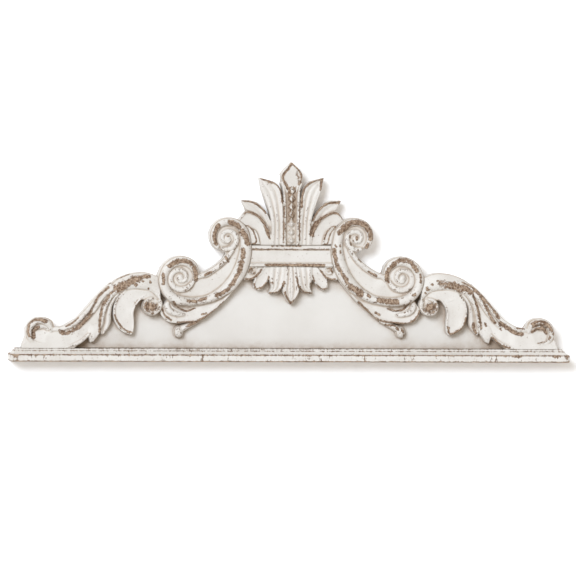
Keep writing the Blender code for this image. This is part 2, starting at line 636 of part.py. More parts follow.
def facets(h, loops, mask, x0, budget, lines=()):
    """Triangles that follow a relief inside its outlines: sheet points and triples."""
    pts, edges = [], []
    for q in loops:
        n = len(pts)
        pts += [tuple(p) for p in q]
        edges += [(n + i, n + (i + 1) % len(q)) for i in range(len(q))]
    for q in lines:
        n = len(pts)
        pts += q
        edges.append((n, n + 1))
    wall = grow(~mask, MIN_STEP)
    taken = np.array(pts)
    limit = budget - 3 * len(pts)
    gx = x0 + (np.arange(h.shape[1]) + 0.5) * CELL
    gz = (np.arange(h.shape[0]) + 0.5) * CELL
    while True:
        v, f = cdt(pts, edges)
        c = v[np.array(f)].mean(1)
        f = [t for t, ok in zip(f, inside_loops(loops, c[:, 0], c[:, 1])) if ok]
        room = (limit - len(f)) // 2
        if room <= 0:
            return v, f
        hv = sample(h, v[:, 0], v[:, 1], x0)
        found = [worst(v[list(t)], hv[list(t)], h, wall, gx, gz) for t in f]
        found = sorted((e for e in found if e and e[0] > HEIGHT_TOL), reverse=True)
        share = min(room, max(len(found) // 2, 6), max(limit // 40, 6))
        added = []
        for _, x, z in found:
            if len(added) >= share:
                break
            if np.hypot(taken[:, 0] - x, taken[:, 1] - z).min() >= MIN_STEP:
                added.append((x, z))
                taken = np.concatenate([taken, [(x, z)]])
        if not added:
            return v, f
        pts += added


def worst(p, k, h, wall, gx, gz):
    """The cell under a triangle where the relief is furthest from it: distance, x and z."""
    j0, j1 = np.searchsorted(gx, (p[:, 0].min(), p[:, 0].max()))
    i0, i1 = np.searchsorted(gz, (p[:, 1].min(), p[:, 1].max()))
    d = turn(*p)
    if j1 <= j0 or i1 <= i0 or abs(d) < 1e-9:
        return None
    x, z = np.meshgrid(gx[j0:j1] - p[0, 0], gz[i0:i1] - p[0, 1])
    b = (x * (p[2, 1] - p[0, 1]) - (p[2, 0] - p[0, 0]) * z) / d
    c = ((p[1, 0] - p[0, 0]) * z - x * (p[1, 1] - p[0, 1])) / d
    a = 1 - b - c
    err = np.abs(a * k[0] + b * k[1] + c * k[2] - h[i0:i1, j0:j1])
    err[(a < 0) | (b < 0) | (c < 0) | wall[i0:i1, j0:j1]] = 0
    i, j = np.unravel_index(int(err.argmax()), err.shape)
    return err[i, j], gx[j0 + j], gz[i0 + i]


def turn(a, b, c):
    """Twice the area of a triangle, positive where it runs to the left."""
    return (b[0] - a[0]) * (c[1] - a[1]) - (b[1] - a[1]) * (c[0] - a[0])


def solid(v, hv, f, loops, back, open_centre):
    """Front facets, a flat back and the walls between. The centre line may stay open."""
    n = len(v)
    f = [t if turn(*v[list(t)]) > 0 else t[::-1] for t in f]
    half = {e for a, b, c in f for e in ((a, b), (b, c), (c, a))}
    border = [(a, b) for a, b in half if (b, a) not in half]
    faces = list(f)
    for a, b in border:
        if not (open_centre and max(abs(v[a, 0]), abs(v[b, 0])) < 1e-6):
            faces += [(a, a + n, b + n), (a, b + n, b)]
    ring = sorted({k for e in border for k in e})
    slot = {k: i for i, k in enumerate(ring)}
    bv, bf = cdt([tuple(v[k]) for k in ring], [(slot[a], slot[b]) for a, b in border])
    c = bv[np.array(bf)].mean(1)
    near = [ring[int(np.argmin(np.hypot(*(v[ring] - p).T)))] for p in bv]
    for t, keep in zip(bf, inside_loops(loops, c[:, 0], c[:, 1])):
        if keep:
            t = [near[k] for k in t]
            t = t if turn(*v[t]) > 0 else t[::-1]
            faces.append((t[0] + n, t[2] + n, t[1] + n))
    verts = [(x, -h, z) for (x, z), h in zip(v, hv)] + [(x, -back, z) for x, z in v]
    used = sorted({k for t in faces for k in t})
    slot = {k: i for i, k in enumerate(used)}
    return [verts[k] for k in used], [tuple(slot[k] for k in t) for t in faces]


def add_object(name, verts, faces):
    """A named piece from millimetres over the rail's underside, with a paint of its own."""
    mesh = bpy.data.meshes.new(name)
    mesh.from_pydata([(x / 1000, y / 1000, z / 1000 - ORIGIN_Z) for x, y, z in verts], [], faces)
    obj = bpy.data.objects.new(name, mesh)
    collection.objects.link(obj)
    coat(obj)
    return obj


def coat(obj):
    """White paint, a little greyer on the flat panel."""
    colour, rough = PANEL_COAT if obj.name == "back_panel" else CARVED_COAT
    m = bpy.data.materials.new(obj.name + "_paint")
    m.use_nodes = True
    b = m.node_tree.nodes["Principled BSDF"]
    b.inputs["Base Color"].default_value = (*colour, 1)
    b.inputs["Roughness"].default_value = rough
    obj.data.materials.append(m)


def add_mirrored(obj):
    """Closes a half that is open at the line of symmetry with its mirror image."""
    m = obj.modifiers.new("mirror", "MIRROR")
    m.use_mirror_merge = True
    m.merge_threshold = CENTRE_MERGE / 1000


def rail():
    """Rail of one section, returned at both ends: level rectangles, each joined to the next."""
    verts, faces = [], []
    for up, out in RAIL_SECTION:
        z, d = up * RAIL_HEIGHT * 1000, out * RAIL_DEPTH * 1000
        w = WIDTH * 500 - (RAIL_DEPTH * 1000 - d)
        verts += [(-w, 0, z), (-w, -d, z), (w, -d, z), (w, 0, z)]
    last = 4 * (len(RAIL_SECTION) - 1)
    for row in range(0, last, 4):
        for k in range(4):
            a, b = row + k, row + (k + 1) % 4
            faces += [(a, b, b + 4), (a, b + 4, a + 4)]
    faces += [(0, 2, 1), (0, 3, 2), (last, last + 1, last + 2), (last, last + 2, last + 3)]
    return add_object("base_rail", verts, faces)


def panel(cover):
    """Backing panel: its flat outline, extruded to the panel's thickness."""
    curve = bpy.data.curves.new("back_panel", "CURVE")
    curve.dimensions = "2D"
    curve.fill_mode = "BOTH"
    curve.extrude = PANEL_THICK / 2
    for loop in outline(cover, -NX * CELL):
        q = simplify(loop, PANEL_TOL) / 1000
        line = curve.splines.new("POLY")
        line.points.add(len(q) - 1)
        line.points.foreach_set("co", np.pad(q, ((0, 0), (0, 2))).ravel())
        line.use_cyclic_u = True
    drawn = bpy.data.objects.new("outline", curve)
    collection.objects.link(drawn)
    bpy.context.view_layer.update()
    mesh = bpy.data.meshes.new_from_object(drawn.evaluated_get(bpy.context.evaluated_depsgraph_get()))
    bpy.data.objects.remove(drawn)
    work = bmesh.new()
    work.from_mesh(mesh)
    bmesh.ops.remove_doubles(work, verts=work.verts, dist=1e-6)
    bmesh.ops.triangulate(work, faces=work.faces)
    verts = [(p.co.x * 1000, -PANEL / 2 - p.co.z * 1000, p.co.y * 1000) for p in work.verts]
    faces = [tuple(p.index for p in f.verts) for f in work.faces]
    work.free()
    return add_object("back_panel", verts, faces)


for o in list(bpy.data.objects):
    bpy.data.objects.remove(o, do_unlink=True)
collection = bpy.data.collections.new("wall_pediment")
bpy.context.scene.collection.children.link(collection)

scroll, limb, strap, fan, drop = carvings()

for name, drawn in (("c_scroll", scroll), ("arm", limb)):
    mask = mask_of(drawn)
    h = level(drawn, mask)
    loops = [simplify(q, OUTLINE_TOL) for q in outline(mask, 0)]
    v, f = facets(h, loops, mask, 0, SIDE_BUDGET[name])
    verts, faces = solid(v, sample(h, *v.T, 0), f, loops, SEAT, False)
    add_object(name + "_right", verts, faces)
    add_object(name + "_left", [(-x, y, z) for x, y, z in verts], [t[::-1] for t in faces])

for name, drawn in (("palmette", fan), ("pendant", drop), ("band", strap)):
    whole = both(drawn)
    mask = mask_of(whole)
    h = level(whole, mask)
    loops = [right_part(simplify(q, OUTLINE_TOL)) for q in outline(mask, -NX * CELL)]
    loops = [q for q in loops if len(q) > 2]
    lines = []
    if name == "band":
        lines = level_lines(mask_of(drawn))
    else:
        loops = [along_centre(q, h, -NX * CELL) for q in loops]
    v, f = facets(h, loops, mask, -NX * CELL, HALF_BUDGET[name], lines)
    hv = depth(band_section(v[:, 1])) if name == "band" else sample(h, *v.T, -NX * CELL)
    verts, faces = solid(v, hv, f, loops, SEAT, True)
    add_mirrored(add_object(name, verts, faces))

plain = Relief()
plain.fill(PANEL_OPEN, FACE, smooth=False)
cover = grow(np.max([scroll, limb, strap, fan, drop], axis=0) > NONE, PANEL_INSET)
cover = both(cover | mask_of(plain.h))
panel(grow(cover, -2 * PANEL_INSET) & both(above_rail))
rail()
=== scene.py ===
"""Looks of the wall pediment: fine carving in distressed white paint, on a white wall.

The carved pieces are the same reliefs as the solids, cut finer, with the wear and the antique glaze
that the photograph shows, and painted shade in their hollows and pockets. Sheet points are (x, y)
in sheet units with y down, and the rail's width sets the size of a unit. Drawn heights are
millimetres at full size.
"""

import json
import math

import bpy
import numpy as np
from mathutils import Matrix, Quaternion, Vector
from mathutils.geometry import delaunay_2d_cdt

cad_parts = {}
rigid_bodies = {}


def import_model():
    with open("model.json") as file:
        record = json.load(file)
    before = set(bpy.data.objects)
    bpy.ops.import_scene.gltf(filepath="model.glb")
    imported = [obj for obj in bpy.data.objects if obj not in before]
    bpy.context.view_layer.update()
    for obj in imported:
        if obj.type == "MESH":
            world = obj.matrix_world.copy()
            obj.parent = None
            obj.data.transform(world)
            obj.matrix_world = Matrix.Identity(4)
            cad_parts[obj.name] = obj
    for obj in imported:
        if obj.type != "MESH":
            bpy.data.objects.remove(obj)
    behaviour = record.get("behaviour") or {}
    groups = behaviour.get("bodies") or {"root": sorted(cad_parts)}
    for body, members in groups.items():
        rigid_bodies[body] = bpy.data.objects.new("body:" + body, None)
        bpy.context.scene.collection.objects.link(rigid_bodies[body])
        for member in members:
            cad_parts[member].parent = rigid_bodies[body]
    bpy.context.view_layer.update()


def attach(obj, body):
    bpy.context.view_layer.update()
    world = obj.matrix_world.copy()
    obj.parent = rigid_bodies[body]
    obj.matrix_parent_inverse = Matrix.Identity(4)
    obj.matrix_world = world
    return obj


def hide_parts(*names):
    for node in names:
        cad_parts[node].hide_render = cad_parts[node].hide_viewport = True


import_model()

# Driving sizes, in metres.
WIDTH = 1.200
PANEL_THICK = 0.018
RAIL_DEPTH = 0.058
RAIL_HEIGHT = 0.0276
CARVING_DEPTH = 0.039
SEAT_GAP = 0.0003
ORIGIN_Z = 0.190

# Sheet: the line of symmetry from the finial's tip down to the rail's underside, the rail's two
# ends, and how far to the side the sheet is seen from.
CENTRE_Y = (160, 240, 279, 308, 330, 349, 362.5)
CENTRE_X = (291.6, 292.8, 292.1, 291.2, 290.2, 290.0, 288.7)
RAIL_ENDS = (10.0, 567.3)
SIDE_VIEW = math.radians(11)
UNIT_X = WIDTH * 1000 / (RAIL_ENDS[1] - RAIL_ENDS[0])
UNIT_Z = UNIT_X * math.cos(SIDE_VIEW)

# Drawn heights, the band's upper and lower edges and the beads, in sheet units.
FACE = 18
CREST = 57
BAND_EDGES = (245.2, 266.6)
BAND_HIGH, BAND_LOW = ((CENTRE_Y[-1] - y) * UNIT_Z for y in BAND_EDGES)
BEADS = 7
BEAD_PITCH = 8.35
# The band's section: shares of its height with drawn heights.
BAND_SECTION = (
    (0, 44.5), (0.03, 46.4), (0.13, 46.4), (0.17, 42.2), (0.2, 41.6), (0.79, 41.6),
    (0.81, 43), (0.86, 46), (0.95, 46), (1, 44.2),
)

# Raster of the reliefs, in millimetres, with a margin round the carving.
CELL = 0.65
MARGIN = 8
NX = int(WIDTH * 500 / CELL) + MARGIN
NZ = int((CENTRE_Y[-1] - CENTRE_Y[0]) * UNIT_Z / CELL) + MARGIN
STEP = 0.35
SPREAD = 7.75
NONE = -1.0
EMPTY = -1e9
GX, GZ = np.meshgrid((np.arange(NX) + 0.5) * CELL, (np.arange(NZ) + 0.5) * CELL)

# Softening and reach of the features, in millimetres.
PANEL = PANEL_THICK * 1000
SEAT = PANEL + SEAT_GAP * 1000
SOFT = 0.45
EDGE_ROUND = 1.5
EDGE_SOFT = 1.2
WIDE_SOFT = 3.0
OUTLINE_SOFT = 0.75
ROUND_FROM, ROUND_TO = 0.97, 0.5
RIDGE_REACH = 2.2
RIDGE_FULL = 0.9
HOLLOW_REACH = 5.0
HOLLOW_FULL = 3.0
STROKE_STEP = 1.5
STROKE_REACH = 2.5
above_rail = GZ > (RAIL_HEIGHT + SEAT_GAP) * 1000


def centre(y):
    """The sheet's line of symmetry at height y."""
    return np.interp(y, CENTRE_Y, CENTRE_X)


def mm(points):
    """Sheet points to millimetres from the line of symmetry and from the rail's underside."""
    p = np.array(points, float)
    across = (p[:, 0] - centre(p[:, 1])) * UNIT_X
    return np.stack([across, (CENTRE_Y[-1] - p[:, 1]) * UNIT_Z], 1)


def spiral(x, y, radii, start, end, steps=13):
    """Points round a centre, with radii spread evenly between two angles in degrees."""
    t = np.linspace(0, 1, steps)
    r = np.interp(t, np.linspace(0, 1, len(radii)), radii)
    a = np.radians(start + (end - start) * t)
    return list(zip(x + r * np.cos(a), y + r * np.sin(a)))


def length_to(q):
    """Length of a curve up to each of its points."""
    return np.concatenate([[0], np.cumsum(np.hypot(*np.diff(q, axis=0).T))])


def even(q, step):
    """The same curve in even steps."""
    run = length_to(q)
    n = max(int(run[-1] / step), 2)
    at = np.linspace(0, run[-1], n + 1)
    return np.stack([np.interp(at, run, q[:, 0]), np.interp(at, run, q[:, 1])], 1)


def spline(points, step, closed=False):
    """Smooth curve through the points, in even steps."""
    p = np.array(points, float)
    if closed:
        p = np.concatenate([p[-1:], p, p[:2]])
    else:
        p = np.concatenate([2 * p[:1] - p[1:2], p, 2 * p[-1:] - p[-2:-1]])
    t = np.linspace(0, 1, 24, endpoint=False)[:, None]
    out = []
    for a, b, c, d in zip(p[:-3], p[1:-2], p[2:-1], p[3:]):
        bend = (2 * a - 5 * b + 4 * c - d) * t**2 + (3 * b - a - 3 * c + d) * t**3
        out.append(b + 0.5 * ((c - a) * t + bend))
    out.append(p[-2:-1])
    return even(np.concatenate(out), step)


def along(values, n):
    """Values given at even shares of the length, at n points."""
    v = np.atleast_1d(np.array(values, float))
    if len(v) == 1:
        return np.full(n, v[0])
    s = np.linspace(0, len(v) - 1, n)
    i = np.minimum(s.astype(int), len(v) - 2)
    f = s - i
    f = f * f * (3 - 2 * f) * 0.5 + f * 0.5
    return v[i] * (1 - f) + v[i + 1] * f


def blur(a, sigma):
    """Gaussian blur, sigma in millimetres."""
    s = sigma / CELL
    r = max(int(3 * s + 0.5), 1)
    k = np.exp(-0.5 * (np.arange(-r, r + 1) / s) ** 2)
    k /= k.sum()
    for axis in (0, 1):
        pad = [(r, r) if i == axis else (0, 0) for i in (0, 1)]
        b = np.pad(a, pad, mode="edge")
        out = np.zeros_like(a)
        for i, w in enumerate(k):
            out += w * (b[i : i + a.shape[0]] if axis == 0 else b[:, i : i + a.shape[1]])
        a = out
    return a


class Relief:
    """A drawn height on the right half of the sheet, NONE where there is no material."""

    def __init__(self):
        self.h = np.full((NZ, NX), NONE)

    def splat(self, x, z, v):
        """The highest value that falls in each cell."""
        ix = np.floor(x / CELL).astype(int).ravel()
        iz = np.floor(z / CELL).astype(int).ravel()
        ok = (ix >= 0) & (ix < NX) & (iz >= 0) & (iz < NZ)
        out = np.full(NZ * NX, EMPTY)
        np.maximum.at(out, iz[ok] * NX + ix[ok], v.ravel()[ok])
        return out.reshape(NZ, NX)

    def put(self, t, mode):
        """Lays a shape on the relief: over it, added to it or cut down into it."""
        got = (t > EMPTY) & ((self.h > NONE) | (mode == "over"))
        new = {"over": np.maximum(self.h, t), "add": self.h + t, "low": np.minimum(self.h, t)}
        self.h = np.where(got, new[mode], self.h)

    def heights(self, height):
        """One height, or a smooth spread of heights given at sheet points (x, y, height)."""
        if np.isscalar(height):
            return np.full((NZ, NX), float(height))
        total, weight = np.zeros((NZ, NX)), np.zeros((NZ, NX))
        for (x, z), h in zip(mm([h[:2] for h in height]), height):
            w = 1.0 / ((GX - x) ** 2 + (GZ - z) ** 2 + SPREAD**2) ** 1.5
            total += w * h[2]
            weight += w
        return total / weight

    def fill(self, points, height, mode="over", smooth=True):
        """A region of the sheet inside a closed line."""
        p = mm(points)
        q = spline(p, 1.0, closed=True) if smooth else p
        lo = np.maximum((q.min(0) / CELL).astype(int) - 1, 0)
        hi = (q.max(0) / CELL).astype(int) + 2
        part = (slice(lo[1], hi[1]), slice(lo[0], hi[0]))
        inside = np.zeros((NZ, NX), bool)
        inside[part] = inside_loops([q], GX[part], GZ[part])
        self.put(np.where(inside, self.heights(height), EMPTY), mode)

    def patch(self, a, b, base, crown=0.0, dish=0.0, rim_a=0.0, rim_b=0.0, rim=4.0,
              flutes=0, flute=0.0, power=1.0, mode="over", roll=0.0):
        """A strip between two edges that run the same way. Heights are given along its length."""
        qa, qb = spline(mm(a), STEP), spline(mm(b), STEP)
        n = max(len(qa), len(qb))
        s = np.linspace(0, 1, n)
        qa, qb = (np.stack([np.interp(s, run / run[-1], k) for k in q.T], 1)
                  for q, run in ((qa, length_to(qa)), (qb, length_to(qb))))
        wide = np.hypot(*(qb - qa).T)
        m = max(int(wide.max() / STEP), 8)
        t = np.linspace(0, 1, m + 1)[None, :]
        x = qa[:, :1] * (1 - t) + qb[:, :1] * t
        z = qa[:, 1:] * (1 - t) + qb[:, 1:] * t
        da, db = t * wide[:, None], (1 - t) * wide[:, None]
        arch = np.sin(np.pi * t) ** power
        h = along(base, n)[:, None] + (along(crown, n) - along(dish, n))[:, None] * arch
        width = np.minimum(rim, wide[:, None] * 0.45 + 1e-6)
        for amount, d in ((rim_a, da), (rim_b, db)):
            u = np.clip(d / width, 0, 1)
            h = h + along(amount, n)[:, None] * np.sin(np.pi * (0.25 + 0.75 * u))
        if flutes:
            h = h + along(flute, n)[:, None] * np.cos(2 * np.pi * flutes * (t - 0.5 / flutes))
        if roll:
            u = np.clip(1 - np.minimum(da, db) / roll, 0, 1)
            h = h - roll * (1 - np.sqrt(1 - u * u)) * 0.8
        self.put(self.splat(x, z, h), mode)

    def rib(self, path, half, crest, foot, power=0.5):
        """A rounded strip along a path: half widths in sheet units, crest and foot in height."""
        q = spline(mm(path), STEP)
        n = len(q)
        d = np.gradient(q, axis=0)
        d /= np.hypot(*d.T)[:, None] + 1e-9
        w = along(half, n) * UNIT_X
        m = max(int(2 * w.max() / STEP), 6)
        t = np.linspace(-1, 1, m + 1)[None, :]
        x = q[:, :1] - d[:, 1:] * w[:, None] * t
        z = q[:, 1:] + d[:, :1] * w[:, None] * t
        c, f = along(crest, n)[:, None], along(foot, n)[:, None]
        self.put(self.splat(x, z, f + (c - f) * (1 - t * t) ** power), "over")

    def dome(self, x, y, rx, ry, top, foot, power=0.5, diamond=False):
        """A rounded boss, or a four-sided one."""
        cx, cz = mm([(x, y)])[0]
        u, w = (GX - cx) / (rx * UNIT_X), (GZ - cz) / (ry * UNIT_Z)
        r = np.abs(u) + np.abs(w) if diamond else u * u + w * w
        h = foot + (top - foot) * np.clip(1 - r, 0, 1) ** power
        self.put(np.where(r < 1, h, EMPTY), "over")

    def keep(self, inside):
        """Keeps only the material inside a mask."""
        self.h = np.where(inside, self.h, NONE)


def inside_loops(loops, x, z):
    """Which points lie inside closed lines."""
    w = np.zeros(np.shape(x), bool)
    for q in loops:
        for (x0, z0), (x1, z1) in zip(q, np.roll(q, -1, 0)):
            if z0 != z1:
                w ^= ((z0 > z) != (z1 > z)) & (x < (x1 - x0) * (z - z0) / (z1 - z0) + x0)
    return w


def c_scroll():
    """One C-scroll with its two volutes, the tail leaf under it and the small ball on its neck."""
    r = Relief()
    # Tail leaf, its recess, its inner lip and the ball on its stalk.
    r.patch([(346, 288), (358, 302), (370, 313.5), (380, 320.5), (395, 323.4), (408, 323.4), (416, 320),
        (420.5, 311), (414, 300)], [(352, 286), (366, 297), (382, 300.5), (399, 301), (414, 299)],
        base=[38, 37, 36, 36, 37, 38], dish=[0, 1.5, 2.5, 2, 1, 0], rim_a=[1, 2.5, 2.5, 1.5, 2],
        rim=5, roll=1.5)
    r.patch([(387, 309), (397, 311.6), (407, 307.6), (410.5, 302)], [(387, 309), (396, 305.5),
        (406, 303), (410.5, 302)], base=[0, -3.2, -4.5, -4.2, 0], crown=[0, -1.5, -2, -1.5, 0],
        mode="add")
    r.rib([(412.5, 301.5), (414.5, 305), (412, 311), (404, 314.6), (396, 315.2)],
        [2, 2.8, 2.8, 2.2, 1.2], [41, 43.5, 43, 41, 38.5], [37, 38, 38, 37.5, 37])
    r.rib([(381, 321.5), (387, 324), (398, 329.5)], [1.6, 2.4, 3.2], [34, 36, 37], [26, 28, 28])
    r.dome(401, 332.8, 4.9, 6.2, 41, 25)
    # The two volutes and the stem between them.
    upper = spiral(356.5, 238, (13.4, 14.6, 16.2, 17, 17.2), 45, -166)
    stem = [(338.2, 250), (342, 268), (351.8, 284.5), (369, 297.2), (386, 301.6)]
    lower = spiral(403, 278.4, (23, 18, 16.5, 17.2, 17.9, 15.4), 98, -184)
    inner = [(351, 249.5), (360.5, 262.5), (375, 273.4), (383, 276.3), (388, 281)]
    r.fill(upper + stem + lower[:-2] + inner[-2:0:-1] + [(357, 254)], [(352, 250, 43), (350, 262, 41),
        (358, 275, 40), (370, 284, 40), (385, 290, 41), (357, 238, 48), (402, 278, 48), (345, 290, 43),
        (412, 296, 44)])
    r.rib(inner, [2.2, 2.4, 2.6, 2.8, 1.6], [50, 50, 49, 49, 45], [41, 40, 40, 40, 40])
    r.rib(upper + stem + lower, [2.6, 3.4, 3.7, 4.2, 5.2, 6.4, 6.8, 6.2, 4.6, 3.7, 4, 4.6, 4.7, 4.6, 4.6,
        4.4, 2.4], [50, 57, 57, 57, 55, 52.5, 50.5, 50, 50, 50, 52, 56, 57, 57, 56, 54, 48],
        [44, 45, 45, 44.5, 43, 41, 39, 39, 39, 39, 41, 45, 45, 45, 45, 45, 43])
    r.rib(spiral(356.8, 238, (11.8, 9.4, 7.6, 5.8, 4, 2.6), 60, 520, 25), [1.4, 2.4, 2.3, 2.1, 1.8, 1.2],
        [49.5, 52, 52, 51.5, 51.5, 51], 48)
    r.dome(356.8, 238, 3, 3, 52.8, 49.5, 0.6)
    r.rib(spiral(403, 278, (13.6, 11.4, 9.4, 7.4, 5.2, 3), -190, -650, 25), [1.6, 2.6, 2.7, 2.4, 2, 1.4],
        [48.5, 52, 52.5, 52.5, 52.5, 52], 48)
    r.dome(403.2, 278, 3.4, 3.6, 53.6, 50, 0.6)
    return r


def arm():
    """One acanthus arm, from the ball volute over the lobes to the foot and its end volute."""
    r = Relief()
    top = [(424, 277.5), (436, 273.2), (450, 273.8), (463, 278.5), (476, 288.5), (491, 304.5),
        (502, 318), (512, 325.8), (524, 328.5)]
    # Long body and foot, which the rail's top cuts off.
    r.fill(top[3:] + [(528.5, 321.5), (536, 318.2), (546, 321), (552.5, 331), (554, 339), (558, 350),
        (560, 358), (520, 358), (502, 346.5), (490, 337), (487, 342.4), (480, 333), (476, 308),
        (462, 290)], [(470, 290, 44), (485, 310, 41), (490, 330, 40), (505, 335, 42), (520, 340, 45),
        (540, 343, 47), (540, 330, 46), (484, 338, 36)])
    # Narrow second lobe.
    r.patch([(458, 289), (468.5, 306), (469.5, 325), (475.5, 334.4)], [(468, 289), (478, 308),
        (481, 327), (478, 335.5)], base=[44, 42, 40, 38, 36, 34], flutes=2,
        flute=[0.4, 1.6, 1.8, 1.8, 1], roll=2)
    # Large hooked lobe.
    r.patch([(432, 292), (443, 302.5), (447.4, 312), (446.3, 324), (446.6, 331), (448.2, 335.2)],
        [(456, 289), (466.2, 303), (467, 317), (462, 328), (456, 333), (449.4, 335.4)],
        base=[44, 43, 42, 41, 40, 38.5, 37.5], dish=[0, 1, 2, 2.5, 2.5, 2, 1],
        rim_a=[0, 1, 1.5, 1.5, 1.5, 1], rim_b=[0.5, 1.5, 3, 3.5, 3.5, 3, 1.5], rim=4.5, roll=1.5)
    # Face inside the curl, between the band, the ball and the large lobe.
    r.fill([(421.5, 302), (424, 295), (431, 290.5), (440, 288), (456, 288), (461, 295), (452, 301),
        (444, 302.4), (438.5, 300.2), (428, 303)], [(424, 300, 41), (436, 294, 43.5), (456, 290, 43.5),
        (453, 300, 41.6), (444, 302, 41.6)])
    # Top band with its rounded crest.
    r.patch(top[:5], [(421.5, 301), (431, 292), (445, 289.2), (459, 291.6), (472, 298.5)],
        base=[42, 43, 44, 44, 44, 43, 42], crown=[6, 7, 8, 8, 8, 7.5, 6], power=0.6)
    # Veins that run down from the band.
    r.rib([(456, 287), (469.5, 294.5), (477.2, 311), (480, 329), (486.5, 342.4)],
        [3.2, 2.6, 2.1, 2, 1.8, 0.8], [50, 49.5, 47.5, 45, 41.5, 37], [44, 43, 42, 40, 37, 33])
    r.rib([(466, 286.5), (478, 295.5), (487.5, 311), (501, 328.5)], [2.6, 2.5, 2.3, 2.2, 2, 1],
        [50, 49, 48, 47, 46, 44], [45, 43, 42.5, 42, 42, 42])
    r.rib([(470, 285), (481.5, 296), (492.5, 309.5), (503, 321.5), (516, 329), (528, 330)],
        [2.4, 2.3, 2.3, 2.4, 2.4, 1.6], [49, 49.5, 49, 48.5, 48.5, 48], [44, 43, 43, 43, 44, 46])
    r.patch([(480.5, 324), (483.8, 337.5), (488, 343.6)], [(489, 326), (491.8, 333), (489.5, 343)],
        base=[41, 40.5, 38.5, 35], crown=[0, 1.5, 2.5, 1])
    # Lower edge of the body, a thin raised lip.
    r.rib([(489.5, 334), (500, 343.2), (513, 348.4)], [1.2, 1.4, 0.8], [43, 45, 46], [38, 42, 44])
    # End volute: rim, hollow and inner curl.
    r.rib(spiral(540, 332.5, (11.4, 11.2, 11.4, 11.2, 10.9, 12.6), 178, 425, 13),
        [1.6, 3.2, 3.1, 2.9, 2.8, 1.4], [48, 55, 56, 56, 54, 47], [44, 47, 47, 47, 46, 46])
    r.fill(spiral(539, 334.5, (9.2,), 0, 330, 12), [(540, 330, 43), (540, 338, 45), (532, 340, 47),
        (546, 334, 44)], mode="low")
    r.rib(spiral(538.5, 334.5, (7.6, 7.4, 7.9), 208, 352, 7), [1.2, 2.2, 1], [48, 52, 47], 44)
    # Ball volute at the inner end.
    r.dome(430, 307.5, 9.2, 8.8, 44, 41)
    r.rib(spiral(429.8, 306.4, (9, 7.6, 7.4, 7.2, 7.4), 222, -100), [2.4, 2.1, 2, 1.9, 1.2],
        [48, 50, 50, 50, 46], 41.5)
    r.dome(429.8, 307.4, 4.9, 5.2, 49, 43, 0.45)
    return r


def palmette_half():
    """Right half of the palmette: leaves, fillet, beads and finial."""
    r = Relief()
    c, foot = 292, 244.8
    # Third leaf, the lowest layer.
    r.patch([(309, foot), (310, 232), (316, 214.5), (325, 203.5), (333, 200.4), (341.5, 200.3)],
        [(322, foot), (323, 230), (329, 215.5), (337, 209.5), (341.5, 201)],
        base=[34, 35, 36, 37, 37, 36], rim_a=[1, 2, 3, 3, 3, 2], dish=[0, 1, 1.5, 1.5, 0.5],
        flutes=2, flute=[0.3, 0.8, 0.8, 0.6, 0.3], rim=4.5, roll=1.5)
    # Fourth leaf, rounded.
    r.patch([(311.5, foot), (313, 234), (319, 222), (328, 214), (337.5, 211.5), (345, 220.5)],
        [(331, foot), (332, 234), (337, 226), (342, 223), (345, 220.8)],
        base=[37, 38, 39, 40, 40, 39, 38], rim_a=[1, 2.5, 3.5, 3.5, 3.5, 3, 2],
        dish=[0.5, 1.5, 2, 2, 1.5, 0.5, 0], rim=5, roll=1.5)
    # Small inner leaf.
    r.patch([(324, 243.8), (327.6, 232), (336, 225.3)], [(336, 244.2), (339, 235), (343, 228)],
        base=[42, 43, 43, 43, 42], dish=[0, 1.2, 1.6, 1.2, 0], rim_a=1, rim_b=1, rim=2.5)
    # Second leaf, with flutes.
    r.patch([(300.2, foot), (300.9, 212), (302.4, 192.5), (308.5, 182.5), (323.8, 177.3)],
        [(312.6, foot), (312.4, 222), (316.5, 205), (321.3, 190), (323.8, 177.8)],
        base=[40, 41, 42, 42, 42, 41, 39], rim_a=[1.5, 2, 2.5, 2.5, 3, 3, 1.5],
        rim_b=[0, 0.5, 1, 1, 1, 0.5], dish=[0.5, 1, 1.5, 1.5, 1, 0.5], flutes=3,
        flute=[0.8, 1.3, 1.5, 1.5, 1.2, 0.6, 0.1], rim=4, roll=1.5)
    # Stalk between the leaf and the beads, and the finial on it.
    r.fill([(c - 3, foot), (c + 9.2, foot), (c + 9.2, 205), (c + 8, 188), (c - 3, 184)], 38, smooth=False)
    r.patch([(c - 3, 192), (c - 3, 170), (c - 0.6, 161.8)], [(c + 5, 192), (c + 9.4, 180.5),
        (c + 9.4, 172), (c, 161.8)], base=[39, 39, 38, 38, 38, 37, 35],
        rim_b=[1, 2.5, 3.5, 3.5, 3, 2, 1], rim=5.5, roll=1.5)
    # Fillet beside the beads.
    r.rib([(c + 7.3, foot), (c + 7.1, 205), (c + 7.8, 190), (c + 10, 182)], [1.7, 1.6, 1.4, 0.8],
        [45, 45, 43.5, 40], 38)
    # Column of four-sided beads, each with a round top.
    for i in range(BEADS):
        y = 240.5 - BEAD_PITCH * i
        r.dome(c, y, 4.6, 4.6, 46.5, 38.5, 0.8, diamond=True)
        r.dome(c, y, 2.4, 2.4, 47, 43, 0.6)
    return r


def band_half():
    """Right half of the flat band between its two fillets."""
    r = Relief()
    c = 292.0
    r.fill([(c - 4, BAND_EDGES[1]), (c + 42, BAND_EDGES[1]), (c + 42, BAND_EDGES[0]),
            (c - 4, BAND_EDGES[0])], 42, smooth=False)
    r.h = np.where(r.h > NONE, band_section(GZ), NONE)
    return r


def band_section(z):
    """Drawn height of the band's section at a height on the sheet."""
    shares, drawn = zip(*BAND_SECTION)
    return np.interp((z - BAND_LOW) / (BAND_HIGH - BAND_LOW), shares, drawn)


